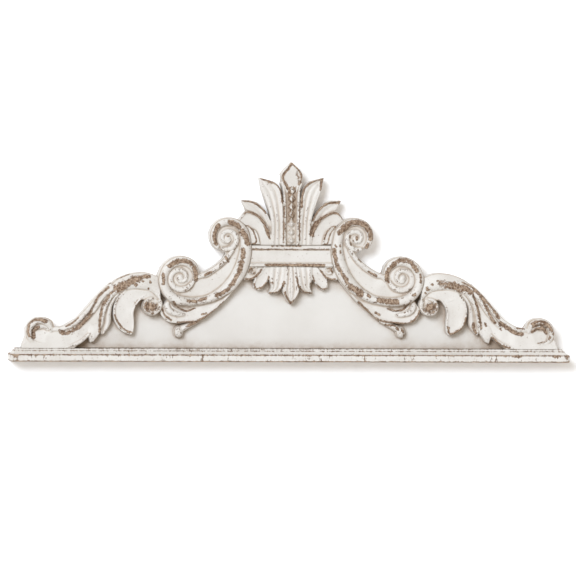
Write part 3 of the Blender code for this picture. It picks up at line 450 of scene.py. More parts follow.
def pendant_half():
    """Right half of the hanging fan of leaves."""
    r = Relief()
    c, head = 291.9, 267
    # Outer curl.
    r.patch([(316, head), (323, 275.6), (333, 280), (338, 280)], [(326, head), (332, head), (338, 273),
        (340, 277)], base=[37, 38, 38, 38, 37], rim_a=[1, 2, 2.5, 2, 1], dish=[0, 1, 1, 0], rim=4.5,
        roll=1.5)
    r.rib(spiral(330, 270.6, (4.6, 3.8, 3, 2.2), -150, 150, 11), [1, 1.5, 1.3, 0.8], [40, 43, 43, 42], 38)
    # Third leaf.
    r.patch([(309, head), (314, 279.5), (321.4, 289), (324.5, 290.2)], [(318.6, head), (326.6, 276.6),
        (328.8, 286.2), (325.5, 290)], base=[40, 40, 39, 38, 37, 35], rim_a=[1, 2, 2, 1.5, 1],
        rim_b=[1, 2, 2.5, 2, 1], dish=[0.5, 1.5, 2, 1.5, 0.5], rim=4, roll=1.5)
    # Second leaf.
    r.patch([(c + 4, head), (c + 7, 283), (c + 12, 291.6), (c + 21, 293.8)], [(c + 21.5, head),
        (c + 21.4, 279), (c + 19.2, 287), (c + 21.4, 293.4)], base=[42, 42, 42, 41, 40, 38],
        rim_a=[0, 1, 2, 3, 3, 1.5], flutes=3, flute=[0.8, 1.4, 1.4, 1.2, 0.6, 0.1],
        dish=[0, 0.5, 1, 1, 0.5], rim=4, roll=1.5)
    # Centre leaf.
    r.patch([(c - 1, head), (c - 1, 293), (c - 0.3, 304.2)], [(c + 5.6, head), (c + 6.9, 283),
        (c + 7.4, 292), (c + 0.2, 304.2)], base=[43, 44, 45, 45, 44, 40],
        rim_b=[1, 1.5, 2, 2.5, 3, 2], flutes=2, flute=[1.4, 1.8, 1.8, 1.6, 0.8, 0], rim=3.5, roll=1.5)
    return r


def both(h):
    """The right half with its mirror image, on the whole sheet."""
    return np.concatenate([h[:, ::-1], h], 1)


def level(h, mask):
    """Height smoothed inside its mask and rounded off towards its outline."""
    m = mask.astype(float)
    s = blur(np.where(mask, h, 0), SOFT) / np.maximum(blur(m, SOFT), 1e-6)
    wide = blur(np.where(mask, h, 0), WIDE_SOFT) / np.maximum(blur(m, WIDE_SOFT), 1e-9)
    s = np.where(blur(m, SOFT) > 0.02, s, wide)
    u = np.clip((ROUND_FROM - blur(m, EDGE_SOFT)) / (ROUND_FROM - ROUND_TO), 0, 1)
    return depth(s) - EDGE_ROUND * (1 - np.sqrt(1 - u * u))


def depth(h):
    """Millimetres from the wall for a drawn height."""
    return SEAT + (h - FACE) * CARVING_DEPTH * 1000 / (CREST - FACE)


def sample(h, x, z, x0):
    """Values at points of the sheet, between the cells."""
    u = np.clip((np.asarray(x) - x0) / CELL - 0.5, 0, h.shape[1] - 1.001)
    w = np.clip(np.asarray(z) / CELL - 0.5, 0, h.shape[0] - 1.001)
    i, j = w.astype(int), u.astype(int)
    fi, fj = w - i, u - j
    a = h[i, j] * (1 - fj) + h[i, j + 1] * fj
    b = h[i + 1, j] * (1 - fj) + h[i + 1, j + 1] * fj
    return a * (1 - fi) + b * fi


def carvings():
    """The five reliefs, each cut off where those that were laid before it lie."""
    scroll, limb, strap = c_scroll(), arm(), band_half()
    fan, drop = palmette_half(), pendant_half()
    scroll.keep(above_rail)
    clear = scroll.h <= NONE
    limb.keep(above_rail & clear)
    strap.keep(clear)
    clear = clear & (strap.h <= NONE)
    fan.keep(clear)
    drop.keep(clear)
    return scroll.h, limb.h, strap.h, fan.h, drop.h


# Mesh of a fine relief.
CASES = {
    1: [[0, "b", "l"]], 2: [[1, "r", "b"]], 3: [[0, 1, "r", "l"]], 4: [[2, "t", "r"]],
    5: [[0, "b", "l"], [2, "t", "r"]], 6: [[1, 2, "t", "b"]], 7: [[0, 1, 2, "t", "l"]],
    8: [[3, "l", "t"]], 9: [[0, "b", "t", 3]], 10: [[1, "r", "b"], [3, "l", "t"]],
    11: [[0, 1, "r", "t", 3]], 12: [[3, "l", "r", 2]], 13: [[0, "b", "r", 2, 3]],
    14: [[1, 2, 3, "l", "b"]],
}
NEAR_CELL = 0.02
WALL_STEPS = 3


def surface(c, x0):
    """Front faces where a blurred mask is over a half, cut cleanly there: points and faces."""
    c = c - 0.5
    c[0] = c[-1] = -0.5
    c[:, 0] = c[:, -1] = -0.5
    ins = c > 0
    code = ins[:-1, :-1] * 1 + ins[:-1, 1:] * 2 + ins[1:, 1:] * 4 + ins[1:, :-1] * 8
    number = -np.ones(c.shape, int)
    need = np.zeros(c.shape, bool)
    for i, j in ((0, 0), (0, 1), (1, 1), (1, 0)):
        need[i : i + code.shape[0], j : j + code.shape[1]] |= code > 0
    need &= ins
    number[need] = np.arange(need.sum())
    i, j = np.nonzero(need)
    points = [(x0 + (b + 0.5) * CELL, (a + 0.5) * CELL) for a, b in zip(i, j)]
    i, j = np.nonzero(code == 15)
    faces = np.stack([number[i, j], number[i, j + 1], number[i + 1, j + 1], number[i + 1, j]], 1).tolist()
    cuts = {}

    def cross(i0, j0, i1, j1):
        key = (i0, j0, i1, j1)
        if key not in cuts:
            a, b = c[i0, j0], c[i1, j1]
            t = min(max(a / (a - b), NEAR_CELL), 1 - NEAR_CELL)
            cuts[key] = len(points)
            points.append((x0 + (j0 + (j1 - j0) * t + 0.5) * CELL, (i0 + (i1 - i0) * t + 0.5) * CELL))
        return cuts[key]

    for i, j in np.argwhere((code > 0) & (code < 15)):
        corner = (number[i, j], number[i, j + 1], number[i + 1, j + 1], number[i + 1, j])
        side = {"b": (i, j, i, j + 1), "r": (i, j + 1, i + 1, j + 1),
                "t": (i + 1, j, i + 1, j + 1), "l": (i, j, i + 1, j)}
        for face in CASES[int(code[i, j])]:
            faces.append([cross(*side[k]) if isinstance(k, str) else int(corner[k]) for k in face])
    return np.array(points), faces


def border_of(faces):
    """Directed edges that only one face has."""
    seen = {(a, b) for f in faces for a, b in zip(f, f[1:] + f[:1])}
    return [(a, b) for a, b in seen if (b, a) not in seen]


def local_mean(h, mask, reach):
    """Mean height of the relief round each cell."""
    return blur(np.where(mask, h, 0), reach) / np.maximum(blur(mask.astype(float), reach), 1e-6)


def features(h, mask):
    """Ridge and hollow of a relief, each from 0 to 1."""
    close = np.where(mask, h - local_mean(h, mask, RIDGE_REACH), 0)
    broad = np.where(mask, h - local_mean(h, mask, HOLLOW_REACH), 0)
    ridge = np.clip(close / RIDGE_FULL, 0, 1)
    cave = np.clip(-close / RIDGE_FULL, 0, 1) * 0.6 + np.clip(-broad / HOLLOW_FULL, 0, 1) * 0.6
    return {"ridge": ridge, "cave": np.clip(cave, 0, 1)}


def placed(name, data):
    """An object of the scene for a mesh, a light or a camera."""
    obj = bpy.data.objects.new(name, data)
    bpy.context.scene.collection.objects.link(obj)
    return obj


def add_mesh(name, verts, faces, fields, material):
    """A smooth object from millimetres over the rail's underside, with a value a point per field."""
    verts = np.array(verts) / 1000
    verts[:, 2] -= ORIGIN_Z
    mesh = bpy.data.meshes.new(name)
    mesh.from_pydata(verts.tolist(), [], faces)
    for key, values in fields.items():
        a = mesh.attributes.new(key, "FLOAT", "POINT")
        a.data.foreach_set("value", np.asarray(values, np.float32).ravel())
    mesh.materials.append(material)
    mesh.shade_smooth()
    return placed(name, mesh)


def carved(name, h, mask, x0, marks, mirror, material):
    """A carved piece from its relief: front, walls and flat back, with its wear, ridges, hollows and
    painted pocket shade on each point.
    """
    relief = level(h, mask)
    cover = blur(mask.astype(float), OUTLINE_SOFT)
    p, faces = surface(cover, x0)
    depth_at = sample(relief, *p.T, x0)
    border = border_of(faces)
    ring = sorted({k for e in border for k in e})
    slot = {k: i for i, k in enumerate(ring)}
    n, r = len(p), len(ring)
    verts = [np.stack([p[:, 0], -depth_at, p[:, 1]], 1)]
    for s in range(1, WALL_STEPS + 1):
        d = depth_at[ring] + (SEAT - depth_at[ring]) * s / WALL_STEPS
        verts.append(np.stack([p[ring, 0], -d, p[ring, 1]], 1))
    for a, b in border:
        rows = [(a, b)] + [(n + s * r + slot[a], n + s * r + slot[b]) for s in range(WALL_STEPS)]
        faces += [[u1, u0, w0, w1] for (u0, u1), (w0, w1) in zip(rows[:-1], rows[1:])]
    low = n + (WALL_STEPS - 1) * r
    edges = [(slot[a], slot[b]) for a, b in border]
    _, _, flat, source, _, _ = delaunay_2d_cdt([Vector(p[k]) for k in ring], edges, [], 1, 1e-7)
    for t in flat:
        at = [source[k][0] for k in t if source[k]]
        if len(set(at)) == 3 and sample(cover, *p[[ring[k] for k in at]].mean(0), x0) > 0.5:
            faces.append([low + k for k in reversed(at)])
    verts = np.concatenate(verts)
    if mirror:
        verts[:, 0] *= -1
        faces = [f[::-1] for f in faces]
    fields = {**features(relief, mask), **marks}
    walls = np.zeros(WALL_STEPS * r)
    fields = {k: np.concatenate([sample(f, *p.T, x0), walls]) for k, f in fields.items()}
    return add_mesh(name, verts, faces, fields, material)


def strokes_on(strokes, side):
    """Strokes on one side of the sheet: side is 1 for right and -1 for left."""
    out = np.zeros((NZ, NX))
    for wide, strength, *points in strokes:
        q = mm(np.reshape(points, (-1, 2))) * (side, 1)
        q = spline(q, STROKE_STEP) if len(q) > 2 else even(q, STROKE_STEP)
        w = wide * UNIT_X
        j0, i0 = np.maximum(((q.min(0) - STROKE_REACH * w) / CELL).astype(int), 0)
        j1, i1 = np.maximum(((q.max(0) + STROKE_REACH * w) / CELL).astype(int) + 1, 0)
        part = (slice(i0, i1), slice(j0, j1))
        if out[part].size:
            d = np.min([(GX[part] - x) ** 2 + (GZ[part] - z) ** 2 for x, z in q], axis=0)
            out[part] = np.maximum(out[part], strength * np.exp(-0.5 * (d / w**2) ** 1.5))
    return out


def unevenness(seed, grain, amount):
    """Slow waves of the hand's work over the whole sheet, in millimetres."""
    rng = np.random.default_rng(seed)
    i, j = np.meshgrid(np.arange(NZ) * CELL / grain, np.arange(2 * NX) * CELL / grain, indexing="ij")
    dots = rng.normal(size=(int(i.max()) + 2, int(j.max()) + 2))
    a, b = i.astype(int), j.astype(int)
    u, w = i - a, j - b
    u, w = u * u * (3 - 2 * u), w * w * (3 - 2 * w)
    low = dots[a, b] * (1 - w) + dots[a, b + 1] * w
    high = dots[a + 1, b] * (1 - w) + dots[a + 1, b + 1] * w
    return (low * (1 - u) + high * u) * amount


# Nodes.
def new_material(name):
    """A material with its node tree and its shader."""
    m = bpy.data.materials.new(name)
    m.use_nodes = True
    return m, m.node_tree, m.node_tree.nodes["Principled BSDF"]


def preset(node, values):
    """Sets inputs of a node by their names."""
    for key, v in values.items():
        node.inputs[key].default_value = v


def calc(tree, op, *values):
    """One step of arithmetic on numbers or sockets."""
    n = tree.nodes.new("ShaderNodeMath")
    n.operation = op
    for socket, v in zip(n.inputs, values):
        if isinstance(v, (int, float)):
            socket.default_value = v
        else:
            tree.links.new(v, socket)
    return n.outputs[0]


def mean_of(tree, *parts):
    """Sum of sockets, each with its share."""
    total = calc(tree, "MULTIPLY", *parts[0])
    for socket, share in parts[1:]:
        total = calc(tree, "MULTIPLY_ADD", socket, share, total)
    return total


def noise(tree, scale, detail=3.0, rough=0.6, stretch=(1, 1, 1), warp=0.0):
    """Fractal noise in the piece's own frame, with a scale in waves a metre."""
    place = tree.nodes.new("ShaderNodeTexCoord")
    fit = tree.nodes.new("ShaderNodeMapping")
    preset(fit, {"Scale": stretch})
    n = tree.nodes.new("ShaderNodeTexNoise")
    preset(n, {"Scale": scale, "Detail": detail, "Roughness": rough, "Distortion": warp})
    tree.links.new(place.outputs["Object"], fit.inputs["Vector"])
    tree.links.new(fit.outputs["Vector"], n.inputs["Vector"])
    return n.outputs["Fac"]


def ramp(tree, fac, low, high, dark, light):
    """Colour from dark to light while a value goes from low to high."""
    return blend(tree, step_up(tree, fac, low, high), dark, light)


def coat(tree, under, fac, low, high, share, colour):
    """A colour laid over another in a share, where a value goes from low to high."""
    return blend(tree, calc(tree, "MULTIPLY", step_up(tree, fac, low, high), share), under, colour)


def step_up(tree, value, low, high):
    """0 below low, 1 above high and a soft edge between."""
    n = tree.nodes.new("ShaderNodeMapRange")
    n.interpolation_type = "SMOOTHSTEP"
    preset(n, {"From Min": low, "From Max": high})
    tree.links.new(value, n.inputs["Value"])
    return n.outputs["Result"]


def blend(tree, fac, a, b):
    """Mix of two colours, each a socket or three numbers."""
    n = tree.nodes.new("ShaderNodeMix")
    n.data_type = "RGBA"
    tree.links.new(fac, n.inputs["Factor"])
    for v, key in ((a, "A"), (b, "B")):
        socket = next(s for s in n.inputs if s.name == key and s.type == "RGBA")
        if isinstance(v, tuple):
            socket.default_value = (*v, 1)
        else:
            tree.links.new(v, socket)
    return next(s for s in n.outputs if s.type == "RGBA")


def field(tree, name):
    """A value that the mesh holds on each point."""
    n = tree.nodes.new("ShaderNodeAttribute")
    n.attribute_name = name
    return n.outputs["Fac"]


def off_the_back(tree, value):
    """The value, and 0 on the flat backs."""
    side, axes = tree.nodes.new("ShaderNodeNewGeometry"), tree.nodes.new("ShaderNodeSeparateXYZ")
    tree.links.new(side.outputs["Normal"], axes.inputs[0])
    return calc(tree, "MULTIPLY", calc(tree, "LESS_THAN", axes.outputs["Y"], BACK_FROM), value)


def closeness(tree, distance):
    """How much of the surroundings other surfaces take up, from 0 to 1."""
    n = tree.nodes.new("ShaderNodeAmbientOcclusion")
    preset(n, {"Distance": distance})
    n.samples = NEAR_SAMPLES
    return off_the_back(tree, calc(tree, "SUBTRACT", 1.0, n.outputs["AO"]))


def bump(tree, shader, height, strength, distance):
    """Fine unevenness of the surface."""
    n = tree.nodes.new("ShaderNodeBump")
    preset(n, {"Strength": strength, "Distance": distance})
    tree.links.new(height, n.inputs["Height"])
    tree.links.new(n.outputs["Normal"], shader.inputs["Normal"])


# A face whose normal leans back by more than this belongs to a flat back.
BACK_FROM = 0.7
# Reach of the painted shade and glaze beside other surfaces, in metres, and the samples that it takes.
CARVED_NEAR = 0.016
RAIL_NEAR = 0.003
PANEL_NEAR = 0.006
PANEL_WIDE = 0.036
NEAR_SAMPLES = 8
# How far a ridge's height helps the wear.
RUB = 0.28
# Paint colours.
PAINT_LIGHT = (0.73, 0.70, 0.663)
PAINT_DEEP = (0.660, 0.622, 0.578)
PANEL_LIGHT = (0.735, 0.710, 0.678)
PANEL_DEEP = (0.700, 0.672, 0.637)
# Warm brown painted shade on the panel beside the carving.
PANEL_SHADE = (0.45, 0.35, 0.26)
CHALK = (0.79, 0.77, 0.745)
# Dark tone of antique glaze and painted shade in deep hollows, pockets and corners.
DEEP_GLAZE_AND_SHADE = (0.33, 0.235, 0.16)
# Soft tone: antique specks, and glaze with painted shade in the hollows.
SOFT_GLAZE_AND_SHADE = (0.52, 0.435, 0.35)
UNDERCOAT = (0.50, 0.405, 0.315)
WOOD_LIGHT = (0.46, 0.345, 0.255)
WOOD_DARK = (0.15, 0.088, 0.052)
# Painted shadow that the paint's torn edge casts on the bare wood.
CHIP_EDGE_SHADOW = (0.125, 0.070, 0.040)
# Drive of the wear at which paint gives way, with its softness, its halo and the reach of the painted
# shadow along the paint's edge.
BARE_AT = 2.36
BARE_SOFT = 0.05
HALO = 0.22
EDGE_END = 0.20


def carved_paint(name, rub, grain_stretch, pocket):
    """White paint rubbed through to brown wood, with antique glaze and painted shade in the hollows."""
    m, t, b = new_material(name)
    large = noise(t, 14, 3, 0.55)
    mid = noise(t, 95, 5, 0.62, warp=0.4)
    fine = noise(t, 420, 4, 0.65)
    torn = noise(t, 230, 5, 0.68, grain_stretch, 0.7)
    fleck = noise(t, 620, 3, 0.7, grain_stretch)
    streak = noise(t, 210, 3, 0.7, grain_stretch, 0.3)
    worn, ridge, cave, pocket_glaze_and_shade = (off_the_back(t, field(t, k)) for k in ("worn", "ridge", "cave", "pocket_glaze_and_shade"))

    paint = ramp(t, large, 0.3, 0.62, PAINT_DEEP, PAINT_LIGHT)
    paint = coat(t, paint, fine, 0.45, 0.65, 0.30, CHALK)
    speck = mean_of(t, (torn, 0.5), (fleck, 0.5))
    paint = coat(t, paint, speck, 0.60, 0.68, 0.55, SOFT_GLAZE_AND_SHADE)

    # Antique glaze and painted shade in hollows and beside other surfaces: a soft tan, then a dark tone
    # where deepest.
    grain = mean_of(t, (mid, 0.6), (fine, 0.4))
    deep = calc(t, "MAXIMUM", cave, calc(t, "MULTIPLY", closeness(t, pocket), 0.8))
    hollow = calc(t, "MULTIPLY", deep, calc(t, "ADD", grain, 0.45))
    paint = coat(t, paint, hollow, 0.10, 0.90, 0.55, SOFT_GLAZE_AND_SHADE)
    # The pocket marks deepen this dark tone: painted shade and glaze.
    dark = calc(t, "MULTIPLY_ADD", hollow, calc(t, "MULTIPLY_ADD", pocket_glaze_and_shade, 2.0, 1.0),
                calc(t, "MULTIPLY", pocket_glaze_and_shade, 0.5))
    paint = coat(t, paint, dark, 0.72, 1.15, 0.75, DEEP_GLAZE_AND_SHADE)

    drive = calc(t, "MULTIPLY_ADD", ridge, rub, worn)
    drive = mean_of(t, (drive, 1.0), (torn, 2.0), (mid, 1.2), (fleck, 0.6))
    bare = step_up(t, drive, BARE_AT - BARE_SOFT, BARE_AT)
    paint = coat(t, paint, drive, BARE_AT - HALO, BARE_AT, 0.35, UNDERCOAT)
    wood = ramp(t, mean_of(t, (fine, 0.3), (streak, 0.7)), 0.42, 0.60, WOOD_DARK, WOOD_LIGHT)
    # Bare wood darker next to the paint's edge: painted shadow of the paint layer.
    inner = step_up(t, drive, BARE_AT + BARE_SOFT, BARE_AT + EDGE_END)
    wood = blend(t, calc(t, "MULTIPLY", calc(t, "SUBTRACT", 1.0, inner), 0.75), wood, CHIP_EDGE_SHADOW)
    t.links.new(blend(t, bare, paint, wood), b.inputs["Base Color"])

    rough = calc(t, "ADD", mean_of(t, (mid, 0.18), (bare, 0.22)), 0.42)
    t.links.new(rough, b.inputs["Roughness"])
    preset(b, {"Specular IOR Level": 0.35})
    bump(t, b, mean_of(t, (mid, 0.5), (fine, 0.25), (bare, -0.35)), 0.35, 0.0012)
    return m


def flat_paint(name):
    """Smooth panel paint with faint mottling, and painted shade with glaze beside the carving."""
    m, t, b = new_material(name)
    large, mid, fine = noise(t, 9, 4, 0.55), noise(t, 70, 4, 0.6), noise(t, 500, 3, 0.6)
    paint = ramp(t, large, 0.3, 0.65, PANEL_DEEP, PANEL_LIGHT)
    # Painted shade and glaze on the panel where the carving crowds in: a wide warm band, and a thin dark
    # line at the carving's foot.
    wide = calc(t, "MULTIPLY", closeness(t, PANEL_WIDE), calc(t, "ADD", mid, 0.5))
    paint = coat(t, paint, wide, 0.12, 0.70, 0.70, PANEL_SHADE)
    paint = coat(t, paint, wide, 0.36, 0.80, 0.75, DEEP_GLAZE_AND_SHADE)
    line = calc(t, "MULTIPLY", closeness(t, PANEL_NEAR), calc(t, "ADD", mid, 0.5))
    paint = coat(t, paint, line, 0.15, 0.75, 0.55, DEEP_GLAZE_AND_SHADE)
    paint = coat(t, paint, noise(t, 160, 5, 0.7), 0.70, 0.76, 0.35, SOFT_GLAZE_AND_SHADE)
    t.links.new(paint, b.inputs["Base Color"])
    t.links.new(calc(t, "MULTIPLY_ADD", mid, 0.15, 0.48), b.inputs["Roughness"])
    preset(b, {"Specular IOR Level": 0.3})
    bump(t, b, mean_of(t, (mid, 0.5), (fine, 0.2)), 0.18, 0.001)
    return m


# Wear, and on the left arm's outer vein painted shade too: strokes, each a half width in sheet units, a
# strength and then its sheet points.
WEAR_RIGHT = (
    # Arm: band, veins, lobes and ball.
    (3.6, 0.56, 442, 283, 447, 284, 452, 285.5, 460, 288),
    (2.7, 0.78, 453, 284.5, 460, 286.5, 466, 288.5, 471, 291.5),
    (0.8, 0.72, 463, 281.5, 472, 286.5, 479, 292, 486, 300),
    (1.1, 0.7, 470, 288, 475.4, 299.2, 478.6, 309.5, 480.5, 322.3, 481.2, 328),
    (1.3, 0.7, 474, 290, 479.2, 293.5, 485.6, 304.4, 490.8, 315.9, 494.6, 322.8),
    (1.4, 0.6, 481.8, 295, 488.8, 303.4, 494.6, 311, 498.5, 317.4),
    (1.8, 0.8, 500.5, 323, 508.7, 328.6, 513.8, 332.4, 521.5, 334.3),
    (0.7, 0.7, 516.4, 327.7, 523.8, 328.5), (1.2, 0.74, 474.1, 323.6, 474.3, 329, 476, 333.2),
    (1, 0.7, 485.4, 322.8, 485.8, 325.6), (0.8, 0.7, 500, 329, 501, 330),
    (1.5, 0.75, 427.4, 287.2, 428, 289.2), (0.9, 0.75, 432.4, 283.8, 433.2, 284.6),
    (0.9, 0.75, 437.5, 280.2, 439, 280.2), (0.9, 0.7, 425.4, 292.2, 426.2, 293),
    (3.9, 0.78, 428.6, 308.4, 432, 307.4),
    (1, 0.74, 448.8, 327.8, 449, 333, 453.3, 333.4, 458.5, 331, 463.6, 326.5, 466.6, 318),
    (0.8, 0.7, 492, 337.7, 501, 345, 508.7, 348.4),
    # End volute.
    (1.2, 0.66, 531.8, 323.6, 536.9, 320.8, 544, 321.7, 549.7, 327.4, 552.3, 334),
    (1.8, 0.5, 533, 326, 539, 324.5, 545, 327),
    (1.3, 0.76, 531.8, 331.3, 536.9, 328.4, 542, 328.4, 546, 333),
    (0.8, 0.5, 538, 343, 545, 341.5, 549, 337),
    # C-scroll: upper volute, left rim, stem, lower volute.
    (2.4, 0.8, 340, 232, 343, 228.4, 347, 225.6),
    (2.3, 0.64, 347, 224.6, 353, 221.4, 362, 222, 367.5, 226.5),
    (1.8, 0.76, 366, 225.6, 370.2, 230.5, 371.4, 238), (1.5, 0.78, 368.4, 244.2, 367.4, 246.4),
    (1.8, 0.72, 334.4, 249, 336, 258, 338.5, 266, 342, 272, 346, 278, 348, 283),
    (0.8, 0.75, 335.8, 245, 336.8, 246.4), (0.8, 0.75, 340.4, 244.4, 340.8, 246),
    (0.9, 0.75, 340.6, 250.6, 341, 252.6), (2.6, 0.84, 351, 286.5, 356, 289.5, 361, 293.5),
    (1.2, 0.74, 368, 295.5, 370, 296.5), (1.9, 0.92, 379, 299.8, 388, 301.2, 397, 301.5),
    (1.2, 0.72, 413, 295, 415, 294), (1.9, 0.8, 387.4, 280, 388, 271, 395.5, 262.5),
    (1.9, 0.7, 391, 266.5, 397, 261, 404, 259.6, 411, 261.6, 416.7, 269.6),
    (1.1, 0.72, 420.4, 274, 420.8, 277), (1.1, 0.72, 421, 280, 421, 282), (1, 0.74, 360, 259, 362, 261),
    (0.9, 0.74, 369.4, 271.3, 377, 275.5), (1.1, 0.76, 357.4, 237, 357.6, 239),
    (0.9, 0.72, 350.7, 235, 350.9, 237), (0.9, 0.72, 351.8, 242, 352, 244),
    # Tail leaf, its stalk and ball.
    (1.6, 0.8, 359.6, 303, 367.3, 311.5, 371.5, 316.4),
    (0.8, 0.76, 373, 317, 384, 322, 395.5, 322.8, 405.4, 323.5, 412.4, 322, 418, 315.7, 420, 310.8),
    (0.9, 0.74, 385.6, 325, 395.5, 325.5), (1, 0.76, 376, 313, 380, 315),
    (0.8, 0.76, 388.5, 308.7, 395.5, 310.8, 404, 309.4, 409.6, 303), (1, 0.76, 397, 328.5, 398, 330),
    (1, 0.76, 402, 330.5, 403, 332), (1, 0.72, 404, 335.5, 405, 337),
    # Palmette: finial, second, third, fourth and inner leaf.
    (1.1, 0.82, 291, 163, 295.1, 165.2, 299.4, 170.2, 301.8, 175.5, 301.3, 180.6, 299, 183.4),
    (1.6, 0.42, 297, 172, 298.2, 177, 298.6, 181),
    (1.2, 0.8, 302, 206, 302.6, 194, 304.8, 186.8, 312.1, 180.6),
    (1.3, 0.74, 310, 182, 316, 178.6, 323, 177.4), (1.2, 0.76, 321.6, 179, 321.4, 184, 320.8, 188.5),
    (0.7, 0.62, 300.6, 206, 300.6, 222, 301, 240),
    (1, 0.78, 313.6, 220.3, 316.7, 213.6, 321.8, 207, 328, 203.2, 334.7, 202, 340.4, 202.6),
    (0.6, 0.6, 322.4, 202.6, 330.5, 199, 339.8, 198.9), (1.2, 0.74, 340.6, 200, 341, 203),
    (2, 0.8, 313.4, 234.6, 314.6, 229, 317.7, 222.8),
    (1, 0.78, 317.7, 222.8, 322.9, 217.7, 329.5, 213.9, 335.7, 212.8, 341.8, 214.8, 344.9, 218.7),
    (0.6, 0.8, 327.5, 244.2, 329, 242.6, 330.1, 238.7, 332.1, 232.6, 335.7, 227.4, 336.7, 226.2),
    (0.5, 0.62, 336.6, 226.2, 334.4, 225.8, 330.6, 228.4, 327.4, 233, 325.6, 239),
    # Beads.
    (1.1, 1, 292.4, 198.2, 292.8, 199), (1.1, 1, 292.6, 205.8, 293, 206.6),
    (1.1, 1, 292.8, 213.2, 293.2, 214),
    (0.55, 0.8, 293.4, 186, 296, 190, 293.4, 194, 296, 198.3, 293.4, 202, 296, 206, 293.4, 209.8, 296,
     213.5, 293.6, 217.6, 296, 221.7),
    # Band.
    (1.4, 0.74, 292, 265, 310, 265, 325, 265.4), (0.7, 0.66, 292, 249.5, 310, 249.5, 330, 249.5),
    (0.6, 0.7, 292, 245.8, 302, 245.8),
    # Pendant: centre, second and third leaf, outer curl and its eye.
    (1.1, 0.8, 291, 303.4, 297.4, 299.7, 301, 292.4),
    (0.9, 0.76, 298, 277.8, 299.8, 286.3, 304.7, 292.2, 312, 293.2),
    (0.7, 0.72, 311.4, 284, 315.2, 282.4, 313.8, 275.3), (0.7, 0.7, 318, 285, 323, 289, 327.8, 288.4),
    (0.8, 0.78, 321.7, 270.5, 326.6, 276.5, 332.7, 279.4, 336.5, 279),
    (0.7, 0.78, 329, 268.6, 331.6, 268.6, 333.4, 272.2),
)
